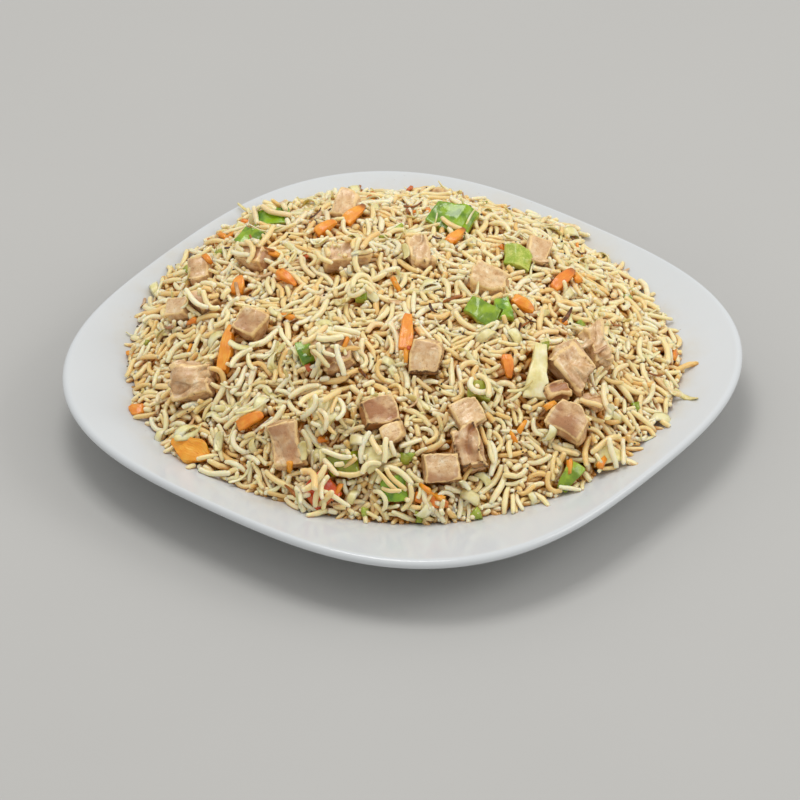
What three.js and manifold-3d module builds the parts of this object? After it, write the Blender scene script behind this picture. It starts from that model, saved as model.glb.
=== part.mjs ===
// A plate of chicken fried rice: a soft-square white plate, the mound of long-grain
// rice on it, and the diced chicken, carrot, pepper and onion that lie in the rice.
// Millimetres, +Z up. The origin is on the table under the plate's middle, and the
// plate's four rounded corners lie on the X and Y axes, with -Y towards the viewer.

import * as THREE from 'three';
import { mergeVertices } from 'three/addons/utils/BufferGeometryUtils.js';
import Module from 'manifold-3d';

const wasm = await Module();
wasm.setup();

// Driving dimensions of the plate
const CORNER_TO_CORNER = 250;
const SQUARENESS = 0.05; // how far the rim swells at a corner and draws in at a side
const PLATE_THICKNESS = 3.6;
const FLOOR_HEIGHT = 5; // top of the plate's flat middle, above the table
const WELL_RADIUS = 69; // where the wall starts to rise from the floor
const WALL_SLOPE = 0.7;
const RIM_START = 84; // where the wall eases over into the wide rim
const RIM_SLOPE = 0.27;
const BEND_LENGTH = 9; // length over which the slope changes
const FOOT_RADIUS = 63;
const FOOT_WIDTH = 4;
const FOOT_RECESS = 1.2;
const RIM_RADIUS = 104; // a last sample of the plate's surface before its lip
const PLATE_SEGMENTS = 48;

// Driving dimensions of the rice
const HEAP_RADIUS = 100.6; // mean radius of the line where the rice meets the plate
const HEAP_BACKWARD = 9.1; // the rice is pushed towards the back corner
const HEAP_RIGHTWARD = 1.3;
const HEAP_SUMMIT = 56; // above the table
const DOME_POWER = 3; // 2 is a plain dome, more is flatter on top and steeper at the edge
const LUMP_HEIGHT = 1.3; // slow rise and fall of the mound
const GRAIN_LENGTH = 12;
const GRAIN_WIDTH = 4.2; // a grain and the gap beside it
const GRAIN_BUMP = 2.6;
const GRAIN_BUMPS = 1500;
const HEAP_RINGS = 21;
const RING_CROWDING = 0.94; // below 1, the rings lie closer together towards the edge
const RING_JITTER = 0.8;
const EDGE_RAGGEDNESS = 1.6;
const EDGE_DEPTH = 1.5; // how far the mound's last ring lies below the plate's surface
const HEAP_BASE = 1; // a flat base inside the plate, cut away where the plate is

const CLEARANCE = 0.3; // gap between pieces that touch
const SEED = 20;

// The photograph's view, 800 x 800 pixels, in which each piece was found
const VIEW = {
  elevation: THREE.MathUtils.degToRad(35.4),
  plateTurn: THREE.MathUtils.degToRad(7.66),
  rimMiddle: [403, 360.6],
  pixelsPerMm: 2.7315,
  distance: 3570,
};

// Each piece: where the photograph shows its middle, its length, width and thickness,
// the way its length runs in the photograph (degrees, anticlockwise from rightwards),
// and how far its broad face turns from the mound's own slope (0) to the viewer (1).
const CHICKEN = [
  { seen: [426, 359], size: [11.5, 13, 10], turn: -5, facing: 0.8 },
  { seen: [334, 352], size: [14, 13, 10], turn: 20, facing: 0.5 },
  { seen: [286, 444], size: [18.5, 12, 8], turn: 100, facing: 0.8 },
  { seen: [380, 413], size: [13, 11, 9], turn: 15, facing: 0.3 },
  { seen: [393, 432], size: [8, 8, 7], turn: 30, facing: 0.5 },
  { seen: [468, 413], size: [12.5, 11, 8], turn: 25, facing: 0.5 },
  { seen: [467, 450], size: [16, 10, 8], turn: 110, facing: 0.6 },
  { seen: [441, 468], size: [14.5, 12.5, 9], turn: 5, facing: 0.8 },
  { seen: [568, 423], size: [16, 12, 10], turn: -35, facing: 0.4 },
  { seen: [571, 368], size: [18, 13, 9], turn: -45, facing: 0.5 },
  { seen: [555, 392], size: [8.5, 6, 5], turn: 10, facing: 0.2 },
  { seen: [590, 397], size: [10.5, 5.5, 5], turn: -10, facing: 0.2 },
  { seen: [594, 348], size: [17, 9, 8], turn: -70, facing: 0.4 },
  { seen: [193, 384], size: [15, 13.5, 11], turn: 15, facing: 0.6 },
  { seen: [250, 326], size: [12.5, 11, 9], turn: -15, facing: 0.4 },
  { seen: [205, 300], size: [11, 9.5, 8], turn: -60, facing: 0.5 },
  { seen: [181, 309], size: [11, 10, 8], turn: 20, facing: 0.3 },
  { seen: [201, 272], size: [11, 8.5, 8], turn: 75, facing: 0.5 },
  { seen: [255, 258], size: [12.5, 9, 7], turn: -5, facing: 0.3 },
  { seen: [348, 257], size: [18, 9, 7], turn: 8, facing: 0.3 },
  { seen: [418, 254], size: [12, 9, 8], turn: -70, facing: 0.5 },
  { seen: [347, 207], size: [13, 9, 8], turn: 40, facing: 0.5 },
  { seen: [538, 252], size: [12.5, 9, 8], turn: 85, facing: 0.5 },
  { seen: [489, 284], size: [14, 10, 8], turn: -20, facing: 0.4 },
];
// On the slope turned away from the viewer, by its place seen from above, sunk in the rice
const CHICKEN_BEHIND = [
  { at: [-37, 93], size: [14, 11, 9], turn: 25, sunk: 2.8 },
  { at: [26, 98], size: [12, 12, 9], turn: -40, sunk: 2.8 },
  { at: [68, 72], size: [15, 10, 8], turn: 70, sunk: 2.6 },
];
const CARROT = [
  { seen: [226, 348], size: [19, 4.6, 4.2], turn: 75, facing: 0.3 },
  { seen: [406, 332], size: [16.5, 5, 4.5], turn: 82, facing: 0.3 },
  { seen: [138, 411], size: [7.5, 5, 4], turn: 10, facing: 0.3 },
  { seen: [432, 501], size: [13, 4, 3], turn: -12, facing: 0.5 },
  { seen: [354, 214], size: [10.5, 4.5, 3], turn: 32, facing: 0.5 },
  { seen: [326, 227], size: [9, 4, 3], turn: 22, facing: 0.5 },
  { seen: [238, 284], size: [7.5, 4.5, 3], turn: 65, facing: 0.5 },
  { seen: [286, 278], size: [10, 3, 2.4], turn: -30, facing: 0.3 },
  { seen: [456, 236], size: [9.5, 4, 2.5], turn: 25, facing: 0.5 },
  { seen: [523, 304], size: [9, 4, 3], turn: -28, facing: 0.4 },
  { seen: [564, 279], size: [12, 4, 2.6], turn: 35, facing: 0.4 },
  { seen: [508, 366], size: [8.5, 4.2, 3.5], turn: -80, facing: 0.4 },
  { seen: [250, 420], size: [10, 4, 3], turn: 25, facing: 0.4 },
];
const CARROT_SLICE = [{ seen: [193, 450], size: [16, 8.5, 2.8], turn: -22, facing: 0.5 }];
const RED_PEPPER = [{ seen: [320, 491], size: [12, 10.5, 3.4], turn: 40, facing: 0.6 }];
const GREEN_PEPPER = [
  { seen: [452, 218], size: [16, 12, 3], turn: -15, facing: 0.5 },
  { seen: [272, 217], size: [12.5, 8, 2.6], turn: 15, facing: 0.4 },
  { seen: [249, 238], size: [9, 8, 2.6], turn: -10, facing: 0.5 },
  { seen: [362, 292], size: [8, 4.5, 2.6], turn: 75, facing: 0.4 },
  { seen: [307, 351], size: [9.5, 6.5, 3], turn: -60, facing: 0.6 },
  { seen: [482, 311], size: [12, 8, 3], turn: -25, facing: 0.5 },
  { seen: [504, 308], size: [9, 6, 3], turn: -70, facing: 0.5 },
  { seen: [518, 257], size: [10, 9, 3], turn: -15, facing: 0.4 },
  { seen: [480, 391], size: [8, 7, 3], turn: -5, facing: 0.5 },
  { seen: [343, 465], size: [11, 8, 3.4], turn: 10, facing: 0.5 },
  { seen: [393, 488], size: [9, 9, 3.4], turn: 5, facing: 0.7 },
  { seen: [570, 477], size: [11.5, 5.5, 2.6], turn: 60, facing: 0.5 },
];
const ONION = [
  { seen: [538, 371], size: [21, 6.5, 2.2], turn: 88, facing: 0.5 },
  { seen: [327, 411], size: [11, 10, 2.2], turn: 20, facing: 0.5 },
  { seen: [379, 455], size: [11, 7.5, 2], turn: 20, facing: 0.5 },
  { seen: [610, 456], size: [11, 6, 2], turn: -5, facing: 0.4 },
];

// Random draws that come out the same every time
let seedState = SEED;
function random() {
  seedState = (seedState + 0x6d2b79f5) | 0;
  let t = Math.imul(seedState ^ (seedState >>> 15), 1 | seedState);
  t = (t + Math.imul(t ^ (t >>> 7), 61 | t)) ^ t;
  return ((t ^ (t >>> 14)) >>> 0) / 4294967296;
}
const between = (low, high) => low + (high - low) * random();

// Solids and geometry
function toSolid(geometry, matrix = new THREE.Matrix4()) {
  const bare = geometry.clone().applyMatrix4(matrix);
  bare.deleteAttribute('normal');
  bare.deleteAttribute('uv');
  const merged = mergeVertices(bare, 1e-4);
  const vertProperties = merged.attributes.position.array;
  const triVerts = new Uint32Array(merged.index.array);
  return new wasm.Manifold(new wasm.Mesh({ numProp: 3, vertProperties, triVerts }));
}

function toGeometry(solid) {
  const { vertProperties, triVerts } = solid.getMesh();
  const geometry = new THREE.BufferGeometry();
  geometry.setAttribute('position', new THREE.BufferAttribute(vertProperties, 3));
  geometry.setIndex(new THREE.BufferAttribute(triVerts, 1));
  geometry.computeVertexNormals();
  return geometry;
}

// The plate's shape as functions of the radius of a round plate, which is then squared
const MEAN_RADIUS = CORNER_TO_CORNER / 2 / (1 + SQUARENESS);
const LIP_RADIUS = PLATE_THICKNESS / 2;
const INNER_EDGE = MEAN_RADIUS - LIP_RADIUS * (1 + Math.sin(Math.atan(RIM_SLOPE)));

// A bend that turns a level line into one that rises by 1 for each 1 outwards
const bend = (u) => (u + Math.hypot(u, BEND_LENGTH)) / 2;

function innerHeight(radius) {
  const rise = WALL_SLOPE * bend(radius - WELL_RADIUS);
  const ease = (WALL_SLOPE - RIM_SLOPE) * bend(radius - RIM_START);
  const atMiddle = WALL_SLOPE * bend(-WELL_RADIUS) - (WALL_SLOPE - RIM_SLOPE) * bend(-RIM_START);
  return FLOOR_HEIGHT + rise - ease - atMiddle;
}

// A radius is lengthened towards the four corners, and most at the rim
const squaring = (radius, angle) => 1 + SQUARENESS * (radius / MEAN_RADIUS) ** 2 * Math.cos(4 * angle);

// The round plate's radius for a point at this distance and angle on the squared one
function roundRadius(distance, angle) {
  let radius = distance;
  for (let step = 0; step < 6; step += 1) radius = distance / squaring(radius, angle);
  return radius;
}

const plateTop = (x, y) => innerHeight(roundRadius(Math.hypot(x, y), Math.atan2(y, x)));

// Turns a profile of (radius, height) points about Z and squares the result
function squaredLathe(profile) {
  const geometry = new THREE.LatheGeometry(profile, PLATE_SEGMENTS).rotateX(Math.PI / 2);
  const position = geometry.attributes.position;
  for (let i = 0; i < position.count; i += 1) {
    const x = position.getX(i);
    const y = position.getY(i);
    const scale = squaring(Math.hypot(x, y), Math.atan2(y, x));
    position.setXY(i, x * scale, y * scale);
  }
  return geometry;
}

// Radii at which the plate's surfaces are sampled, closer together at the two bends
const WELL_RADII = [WELL_RADIUS - 12, WELL_RADIUS - 3, WELL_RADIUS + 5];
const SURFACE_RADII = [...WELL_RADII, RIM_START - 3, RIM_START + 7, RIM_RADIUS];

function innerPoints() {
  const radii = [0, ...SURFACE_RADII, INNER_EDGE];
  return radii.map((radius) => new THREE.Vector2(radius, innerHeight(radius)));
}

// The underside lies one thickness below the top, measured square to it
function outerPoint(radius) {
  const step = 0.5;
  const slope = (innerHeight(radius + step) - innerHeight(radius - step)) / (2 * step);
  const down = new THREE.Vector2(slope, -1).setLength(PLATE_THICKNESS);
  return new THREE.Vector2(radius, innerHeight(radius)).add(down);
}

function lipPoints() {
  const top = new THREE.Vector2(INNER_EDGE, innerHeight(INNER_EDGE));
  const bottom = outerPoint(INNER_EDGE);
  const middle = top.clone().add(bottom).multiplyScalar(0.5);
  const start = bottom.clone().sub(middle).angle();
  return [0.25, 0.5, 0.75].map((share) => {
    const angle = start + share * Math.PI;
    const spoke = new THREE.Vector2(Math.cos(angle), Math.sin(angle));
    return middle.clone().addScaledVector(spoke, LIP_RADIUS);
  });
}

function platePoints() {
  const footInner = FOOT_RADIUS - FOOT_WIDTH;
  const underside = [
    new THREE.Vector2(0, FOOT_RECESS),
    new THREE.Vector2(footInner - FOOT_RECESS, FOOT_RECESS),
    new THREE.Vector2(footInner, 0),
    new THREE.Vector2(FOOT_RADIUS, 0),
  ];
  const rising = SURFACE_RADII.filter((radius) => radius > FOOT_RADIUS + 1);
  const outside = [...rising, INNER_EDGE].map(outerPoint);
  return [...underside, ...outside, ...lipPoints(), ...innerPoints().reverse()];
}

// Everything below the plate's top and its clearance, which the food keeps out of
function plateSpacePoints() {
  const depth = -10;
  const beyond = MEAN_RADIUS + 10;
  const top = innerPoints().map((p) => new THREE.Vector2(p.x, p.y + CLEARANCE));
  const outward = new THREE.Vector2(beyond, innerHeight(beyond) + CLEARANCE);
  return [new THREE.Vector2(0, depth), new THREE.Vector2(beyond, depth), outward, ...top.reverse()];
}

// The mound of rice as functions of the place seen from above
function heapEdge(angle) {
  const uneven = -1.7 * Math.sin(2 * angle) - 1.9 * Math.sin(3 * angle) + 0.9 * Math.cos(4 * angle);
  return HEAP_RADIUS + HEAP_BACKWARD * Math.sin(angle) + HEAP_RIGHTWARD * Math.cos(angle) + uneven;
}

function lumps(x, y) {
  const long = Math.sin(x / 13 + 0.8) * Math.cos(y / 15 - 0.4);
  const short = 0.6 * Math.sin((x + y) / 9 + 2) * Math.cos((x - y) / 11);
  return LUMP_HEIGHT * (long + short);
}

function heapHeight(x, y) {
  const angle = Math.atan2(y, x);
  const edge = heapEdge(angle);
  const share = Math.hypot(x, y) / edge;
  if (share >= 1) return plateTop(x, y);
  const edgeHeight = plateTop(edge * Math.cos(angle), edge * Math.sin(angle));
  const dome = 1 - share ** DOME_POWER;
  return edgeHeight + (HEAP_SUMMIT - edgeHeight + lumps(x, y)) * dome;
}

// Grain-sized ridges, each lying in its own direction, strewn evenly over the mound
function strewGrains() {
  const golden = Math.PI * (3 - Math.sqrt(5));
  return Array.from({ length: GRAIN_BUMPS }, (_, i) => {
    const angle = i * golden;
    const reach = Math.sqrt((i + 0.5) / GRAIN_BUMPS) * heapEdge(angle);
    const lie = between(0, Math.PI);
    const stray = GRAIN_WIDTH / 3;
    return {
      x: reach * Math.cos(angle) + between(-stray, stray),
      y: reach * Math.sin(angle) + between(-stray, stray),
      along: [Math.cos(lie), Math.sin(lie)],
      height: GRAIN_BUMP * between(0.45, 1),
    };
  });
}
const GRAINS = strewGrains();

function grainRelief(x, y) {
  let relief = 0;
  for (const grain of GRAINS) {
    const dx = x - grain.x;
    const dy = y - grain.y;
    if (Math.abs(dx) > GRAIN_LENGTH || Math.abs(dy) > GRAIN_LENGTH) continue;
    const along = (dx * grain.along[0] + dy * grain.along[1]) / (GRAIN_LENGTH / 2);
    const across = (dy * grain.along[0] - dx * grain.along[1]) / (GRAIN_WIDTH / 2);
    const inside = 1 - along ** 2 - across ** 2;
    if (inside > 0) relief = Math.max(relief, grain.height * Math.sqrt(inside));
  }
  return relief;
}

// The mound's top is rings of 6, 12, 18 ... points round the middle one
const ringSize = (ring) => Math.max(1, 6 * ring);
const ringStart = (ring) => (ring === 0 ? 0 : 1 + 3 * ring * (ring - 1));
const pointOf = (ring, i) => ringStart(ring) + (i % ringSize(ring));

function topPoint(ring, i) {
  const angle = ((i + (ring % 2) / 2) / ringSize(ring)) * 2 * Math.PI;
  const share = (ring / HEAP_RINGS) ** RING_CROWDING;
  const reach = share * (heapEdge(angle) + between(-EDGE_RAGGEDNESS, EDGE_RAGGEDNESS));
  const x = reach * Math.cos(angle) + between(-RING_JITTER, RING_JITTER);
  const y = reach * Math.sin(angle) + between(-RING_JITTER, RING_JITTER);
  if (ring === HEAP_RINGS) return [x, y, plateTop(x, y) - EDGE_DEPTH];
  return [x, y, heapHeight(x, y) + grainRelief(x, y)];
}

// The triangles between a ring and the one inside it, for one of six equal sectors
function sectorFaces(ring, sector) {
  const faces = [];
  for (let k = 0; k < ring; k += 1) {
    const outer = sector * ring + k;
    const inner = sector * (ring - 1) + k;
    faces.push(pointOf(ring, outer), pointOf(ring, outer + 1), pointOf(ring - 1, inner));
    if (k < ring - 1) {
      faces.push(pointOf(ring - 1, inner), pointOf(ring, outer + 1), pointOf(ring - 1, inner + 1));
    }
  }
  return faces;
}

// The mound as a closed solid: its top, a wall straight down from the last ring, and a base
function heapGeometry() {
  const points = [];
  for (let ring = 0; ring <= HEAP_RINGS; ring += 1) {
    for (let i = 0; i < ringSize(ring); i += 1) points.push(topPoint(ring, i));
  }
  const faces = [];
  for (let ring = 1; ring <= HEAP_RINGS; ring += 1) {
    for (let sector = 0; sector < 6; sector += 1) faces.push(...sectorFaces(ring, sector));
  }
  const around = ringSize(HEAP_RINGS);
  const upper = ringStart(HEAP_RINGS);
  const lower = points.length;
  const middle = lower + around;
  for (let i = 0; i < around; i += 1) {
    const next = (i + 1) % around;
    const [x, y] = points[upper + i];
    points.push([x, y, HEAP_BASE]);
    faces.push(upper + i, lower + i, upper + next, upper + next, lower + i, lower + next);
    faces.push(lower + i, middle, lower + next);
  }
  points.push([0, 0, HEAP_BASE]);
  const geometry = new THREE.BufferGeometry();
  geometry.setAttribute('position', new THREE.Float32BufferAttribute(points.flat(), 3));
  geometry.setIndex(faces);
  return geometry;
}

// The point of the mound or the plate that the photograph shows at a pixel
function seenPoint(u, v) {
  const { elevation, plateTurn, rimMiddle, pixelsPerMm, distance } = VIEW;
  const sin = Math.sin(elevation);
  const cos = Math.cos(elevation);
  const rimHeight = innerHeight(INNER_EDGE);
  const across = (u - rimMiddle[0]) / (pixelsPerMm * distance);
  const upward = (rimMiddle[1] - v) / (pixelsPerMm * distance);
  const pointAt = (height) => {
    const z = height - rimHeight;
    const back = (upward * (distance - z * sin) - z * cos) / (sin - upward * cos);
    const right = across * (distance + back * cos - z * sin);
    const x = right * Math.cos(plateTurn) + back * Math.sin(plateTurn);
    const y = back * Math.cos(plateTurn) - right * Math.sin(plateTurn);
    return new THREE.Vector3(x, y, height);
  };
  const above = (p) => p.z > heapHeight(p.x, p.y);
  const step = 0.25;
  let height = HEAP_SUMMIT + 3 * LUMP_HEIGHT;
  while (height > 0 && above(pointAt(height))) height -= step;
  return pointAt(height);
}

function slopeNormal(x, y) {
  const step = 3;
  const dx = (heapHeight(x + step, y) - heapHeight(x - step, y)) / (2 * step);
  const dy = (heapHeight(x, y + step) - heapHeight(x, y - step)) / (2 * step);
  return new THREE.Vector3(-dx, -dy, 1).normalize();
}

const TOWARDS_VIEWER = new THREE.Vector3(
  -Math.sin(VIEW.plateTurn) * Math.cos(VIEW.elevation),
  -Math.cos(VIEW.plateTurn) * Math.cos(VIEW.elevation),
  Math.sin(VIEW.elevation),
);

// A matrix with its length near the given direction and its broad face along up
function basisAt(middle, long, up) {
  long.addScaledVector(up, -long.dot(up)).normalize();
  const wide = new THREE.Vector3().crossVectors(up, long);
  return new THREE.Matrix4().makeBasis(long, wide, up).setPosition(middle);
}

// A piece's place and turn: on the mound, half sunk in it, with its length as photographed
function placement({ seen, at, turn, facing, sunk }, rise) {
  const radians = THREE.MathUtils.degToRad(turn);
  if (at) {
    const [x, y] = at;
    const up = slopeNormal(x, y);
    const middle = new THREE.Vector3(x, y, heapHeight(x, y)).addScaledVector(up, -sunk);
    return basisAt(middle, new THREE.Vector3(Math.cos(radians), Math.sin(radians), 0), up);
  }
  const [u, v] = seen;
  const reach = 6; // pixels
  const ahead = seenPoint(u + reach * Math.cos(radians), v - reach * Math.sin(radians));
  const behind = seenPoint(u - reach * Math.cos(radians), v + reach * Math.sin(radians));
  const middle = seenPoint(u, v);
  const up = slopeNormal(middle.x, middle.y).lerp(TOWARDS_VIEWER, facing).normalize();
  return basisAt(middle.addScaledVector(TOWARDS_VIEWER, rise), ahead.sub(behind), up);
}

// Runs over the vertices of a box of half sizes 1, reshapes each and gives it its size
function reshapedBox([length, width, thickness], segments, reshape) {
  const box = new THREE.BoxGeometry(2, 2, 2, ...segments);
  box.deleteAttribute('normal');
  box.deleteAttribute('uv');
  const geometry = mergeVertices(box);
  const position = geometry.attributes.position;
  const point = new THREE.Vector3();
  for (let i = 0; i < position.count; i += 1) {
    point.fromBufferAttribute(position, i);
    reshape(point);
    point.multiply(new THREE.Vector3(length / 2, width / 2, thickness / 2));
    position.setXYZ(i, point.x, point.y, point.z);
  }
  return geometry;
}

// Chicken: a cut dice with softened edges, one side leaning and every corner its own
function chickenShape(size) {
  const lean = between(-0.16, 0.16);
  const taper = between(-0.14, 0.14);
  const boxiness = 7; // 2 is a ball, more is squarer
  const uneven = 0.07;
  return reshapedBox(size, [2, 2, 2], (p) => {
    const sum = Math.abs(p.x) ** boxiness + Math.abs(p.y) ** boxiness + Math.abs(p.z) ** boxiness;
    p.divideScalar(sum ** (1 / boxiness));
    p.x += lean * p.z + between(-uneven, uneven);
    p.y = p.y * (1 + taper * p.x) + between(-uneven, uneven);
    p.z += between(-uneven, uneven);
  });
}

// Carrot: a cut stick, thicker at one end and a little bowed
function carrotShape(size) {
  const bow = between(0.15, 0.45);
  return reshapedBox(size, [4, 1, 1], (p) => {
    const thin = 1 - 0.3 * Math.abs(p.x) ** 3 - 0.2 * p.x;
    p.y *= thin;
    p.z *= thin;
    p.z -= bow * p.x ** 2;
    p.y += between(-0.08, 0.08);
  });
}

// A slice cut slantwise from a carrot: pointed at both ends
function sliceShape(size) {
  return reshapedBox(size, [5, 2, 1], (p) => {
    p.y *= Math.sqrt(Math.max(0.04, 1 - 0.96 * p.x ** 2));
    p.z += 0.35 * Math.sin(2.2 * p.x) + 0.25 * p.y ** 2;
  });
}

// Pepper: a square of thick skin that keeps the pepper's curve
function pepperShape(size) {
  const bow = between(0.7, 1.1);
  const curl = between(-0.35, 0.35);
  return reshapedBox(size, [3, 2, 1], (p) => {
    const bent = bow * p.x ** 2 + curl * p.x * p.y;
    p.y *= 1 + 0.12 * p.x;
    p.z -= bent;
    p.x += between(-0.05, 0.05);
    p.y += between(-0.05, 0.05);
  });
}

// Onion and cabbage: a thin wavy shred, narrower at one end
function onionShape(size) {
  const phase = between(0, Math.PI);
  return reshapedBox(size, [4, 2, 1], (p) => {
    const wave = 0.55 * Math.sin(2.6 * p.x + phase) + 0.45 * p.y ** 2;
    p.y *= 1 - 0.25 * p.x;
    p.z += wave;
  });
}

// The shape with each face moved out, which is what its neighbours keep clear of
function swollen(geometry) {
  const grown = geometry.clone();
  grown.computeVertexNormals();
  const position = grown.attributes.position;
  const normal = grown.attributes.normal;
  const corner = 1.7; // a corner moves further than the faces that meet there
  const step = CLEARANCE * corner;
  for (let i = 0; i < position.count; i += 1) {
    position.setXYZ(
      i,
      position.getX(i) + step * normal.getX(i),
      position.getY(i) + step * normal.getY(i),
      position.getZ(i) + step * normal.getZ(i),
    );
  }
  return grown;
}

const MATERIALS = {
  plate: new THREE.MeshStandardMaterial({ color: 0xf1f2f1, roughness: 0.16, metalness: 0 }),
  rice: new THREE.MeshStandardMaterial({ color: 0xddc79a, roughness: 0.5, metalness: 0 }),
  chicken: new THREE.MeshStandardMaterial({ color: 0xc79c77, roughness: 0.55, metalness: 0 }),
  carrot: new THREE.MeshStandardMaterial({ color: 0xee7a1c, roughness: 0.35, metalness: 0 }),
  redPepper: new THREE.MeshStandardMaterial({ color: 0xd83c12, roughness: 0.3, metalness: 0 }),
  pepper: new THREE.MeshStandardMaterial({ color: 0x6f9a17, roughness: 0.3, metalness: 0 }),
  onion: new THREE.MeshStandardMaterial({ color: 0xe3dba8, roughness: 0.35, metalness: 0 }),
};

// rise is how far a piece's middle stands out of the mound
const ALL_CHICKEN = [...CHICKEN, ...CHICKEN_BEHIND];
const KINDS = [
  { name: 'chicken', places: ALL_CHICKEN, shape: chickenShape, rise: 1.5, material: MATERIALS.chicken },
  { name: 'carrot_stick', places: CARROT, shape: carrotShape, rise: 2, material: MATERIALS.carrot },
  { name: 'carrot_slice', places: CARROT_SLICE, shape: sliceShape, rise: 2.2, material: MATERIALS.carrot },
  { name: 'red_pepper', places: RED_PEPPER, shape: pepperShape, rise: 2.5, material: MATERIALS.redPepper },
  { name: 'green_pepper', places: GREEN_PEPPER, shape: pepperShape, rise: 2.5, material: MATERIALS.pepper },
  { name: 'onion', places: ONION, shape: onionShape, rise: 2.5, material: MATERIALS.onion },
];

const group = new THREE.Group();
const food = new THREE.Group();
group.add(food);

const plate = new THREE.Mesh(squaredLathe(platePoints()), MATERIALS.plate);
plate.name = 'plate';
group.add(plate);

// Each piece is trimmed where it would cross the plate or a piece laid before it
const largestBody = (solid) => solid.decompose().reduce((a, b) => (a.volume() > b.volume() ? a : b));
let taken = toSolid(squaredLathe(plateSpacePoints()));
for (const kind of KINDS) {
  kind.places.forEach((place, i) => {
    const matrix = placement(place, kind.rise);
    const geometry = kind.shape(place.size);
    const trimmed = toGeometry(largestBody(toSolid(geometry, matrix).subtract(taken)));
    const mesh = new THREE.Mesh(trimmed.applyMatrix4(matrix.clone().invert()), kind.material);
    mesh.name = `${kind.name}_${String(i + 1).padStart(2, '0')}`;
    mesh.applyMatrix4(matrix);
    food.add(mesh);
    taken = taken.add(toSolid(swollen(geometry), matrix));
  });
}

const mound = largestBody(toSolid(heapGeometry()).subtract(taken));
const rice = new THREE.Mesh(toGeometry(mound), MATERIALS.rice);
rice.name = 'rice_heap';
food.add(rice);

export default group;
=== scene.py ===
# %% [markdown]
# # A plate of chicken fried rice
#
# The real thing is a soft-square white plate with a low, broad mound of long-grain rice on it. Diced
# chicken, carrot, pepper, onion and cabbage are tossed through the rice. This lesson dresses a plain
# solid model of it: the plate gets its fine surface, every topping its own cut faces, and the mound
# becomes thousands of single grains. Everything is seeded, so each run gives the same plate of food.

# %% Load the solid model
import math
from collections import namedtuple

import bmesh
import bpy
import numpy as np
from mathutils import Matrix, Vector


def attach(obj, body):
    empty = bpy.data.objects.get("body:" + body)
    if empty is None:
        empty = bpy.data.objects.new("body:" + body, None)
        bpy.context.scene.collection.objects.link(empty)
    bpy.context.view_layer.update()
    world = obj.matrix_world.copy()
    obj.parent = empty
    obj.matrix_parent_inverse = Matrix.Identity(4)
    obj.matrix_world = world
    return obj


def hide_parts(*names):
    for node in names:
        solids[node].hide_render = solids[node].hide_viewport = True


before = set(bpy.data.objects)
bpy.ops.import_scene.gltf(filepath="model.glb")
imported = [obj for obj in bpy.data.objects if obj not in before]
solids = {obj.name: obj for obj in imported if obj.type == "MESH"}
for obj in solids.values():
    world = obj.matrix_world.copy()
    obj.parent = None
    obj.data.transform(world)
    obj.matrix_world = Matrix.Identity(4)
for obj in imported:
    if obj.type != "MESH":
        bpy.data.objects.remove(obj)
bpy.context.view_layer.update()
MM = 0.001  # Blender works in metres, and the dimensions of the food are easier to read in millimetres
SEED = 7

# %% [markdown]
# ## Node trees written as expressions
#
# A finish and a Geometry Nodes group are both trees of small boxes joined by links. They could be
# wired by hand, one line for each link, but then the sum that a tree works out is hard to see. Here a
# socket is wrapped in a small class, so `1 - mask` adds the Math node that subtracts. Every other
# node comes from one method that sets the node up and feeds its sockets.

# %% A socket that can be used in sums
class Value:
    """A number, colour or geometry that a node gives. Python's operators add Math nodes behind it."""

    def __init__(self, tree, socket):
        self.tree = tree
        self.socket = socket

    def __add__(self, other):
        return self.tree.maths("ADD", self, other)

    def __radd__(self, other):
        return self.tree.maths("ADD", other, self)

    def __sub__(self, other):
        return self.tree.maths("SUBTRACT", self, other)

    def __rsub__(self, other):
        return self.tree.maths("SUBTRACT", other, self)

    def __mul__(self, other):
        return self.tree.maths("MULTIPLY", self, other)

    def __rmul__(self, other):
        return self.tree.maths("MULTIPLY", other, self)

    def __truediv__(self, other):
        return self.tree.maths("DIVIDE", self, other)

    def __pow__(self, other):
        return self.tree.maths("POWER", self, other)


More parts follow.
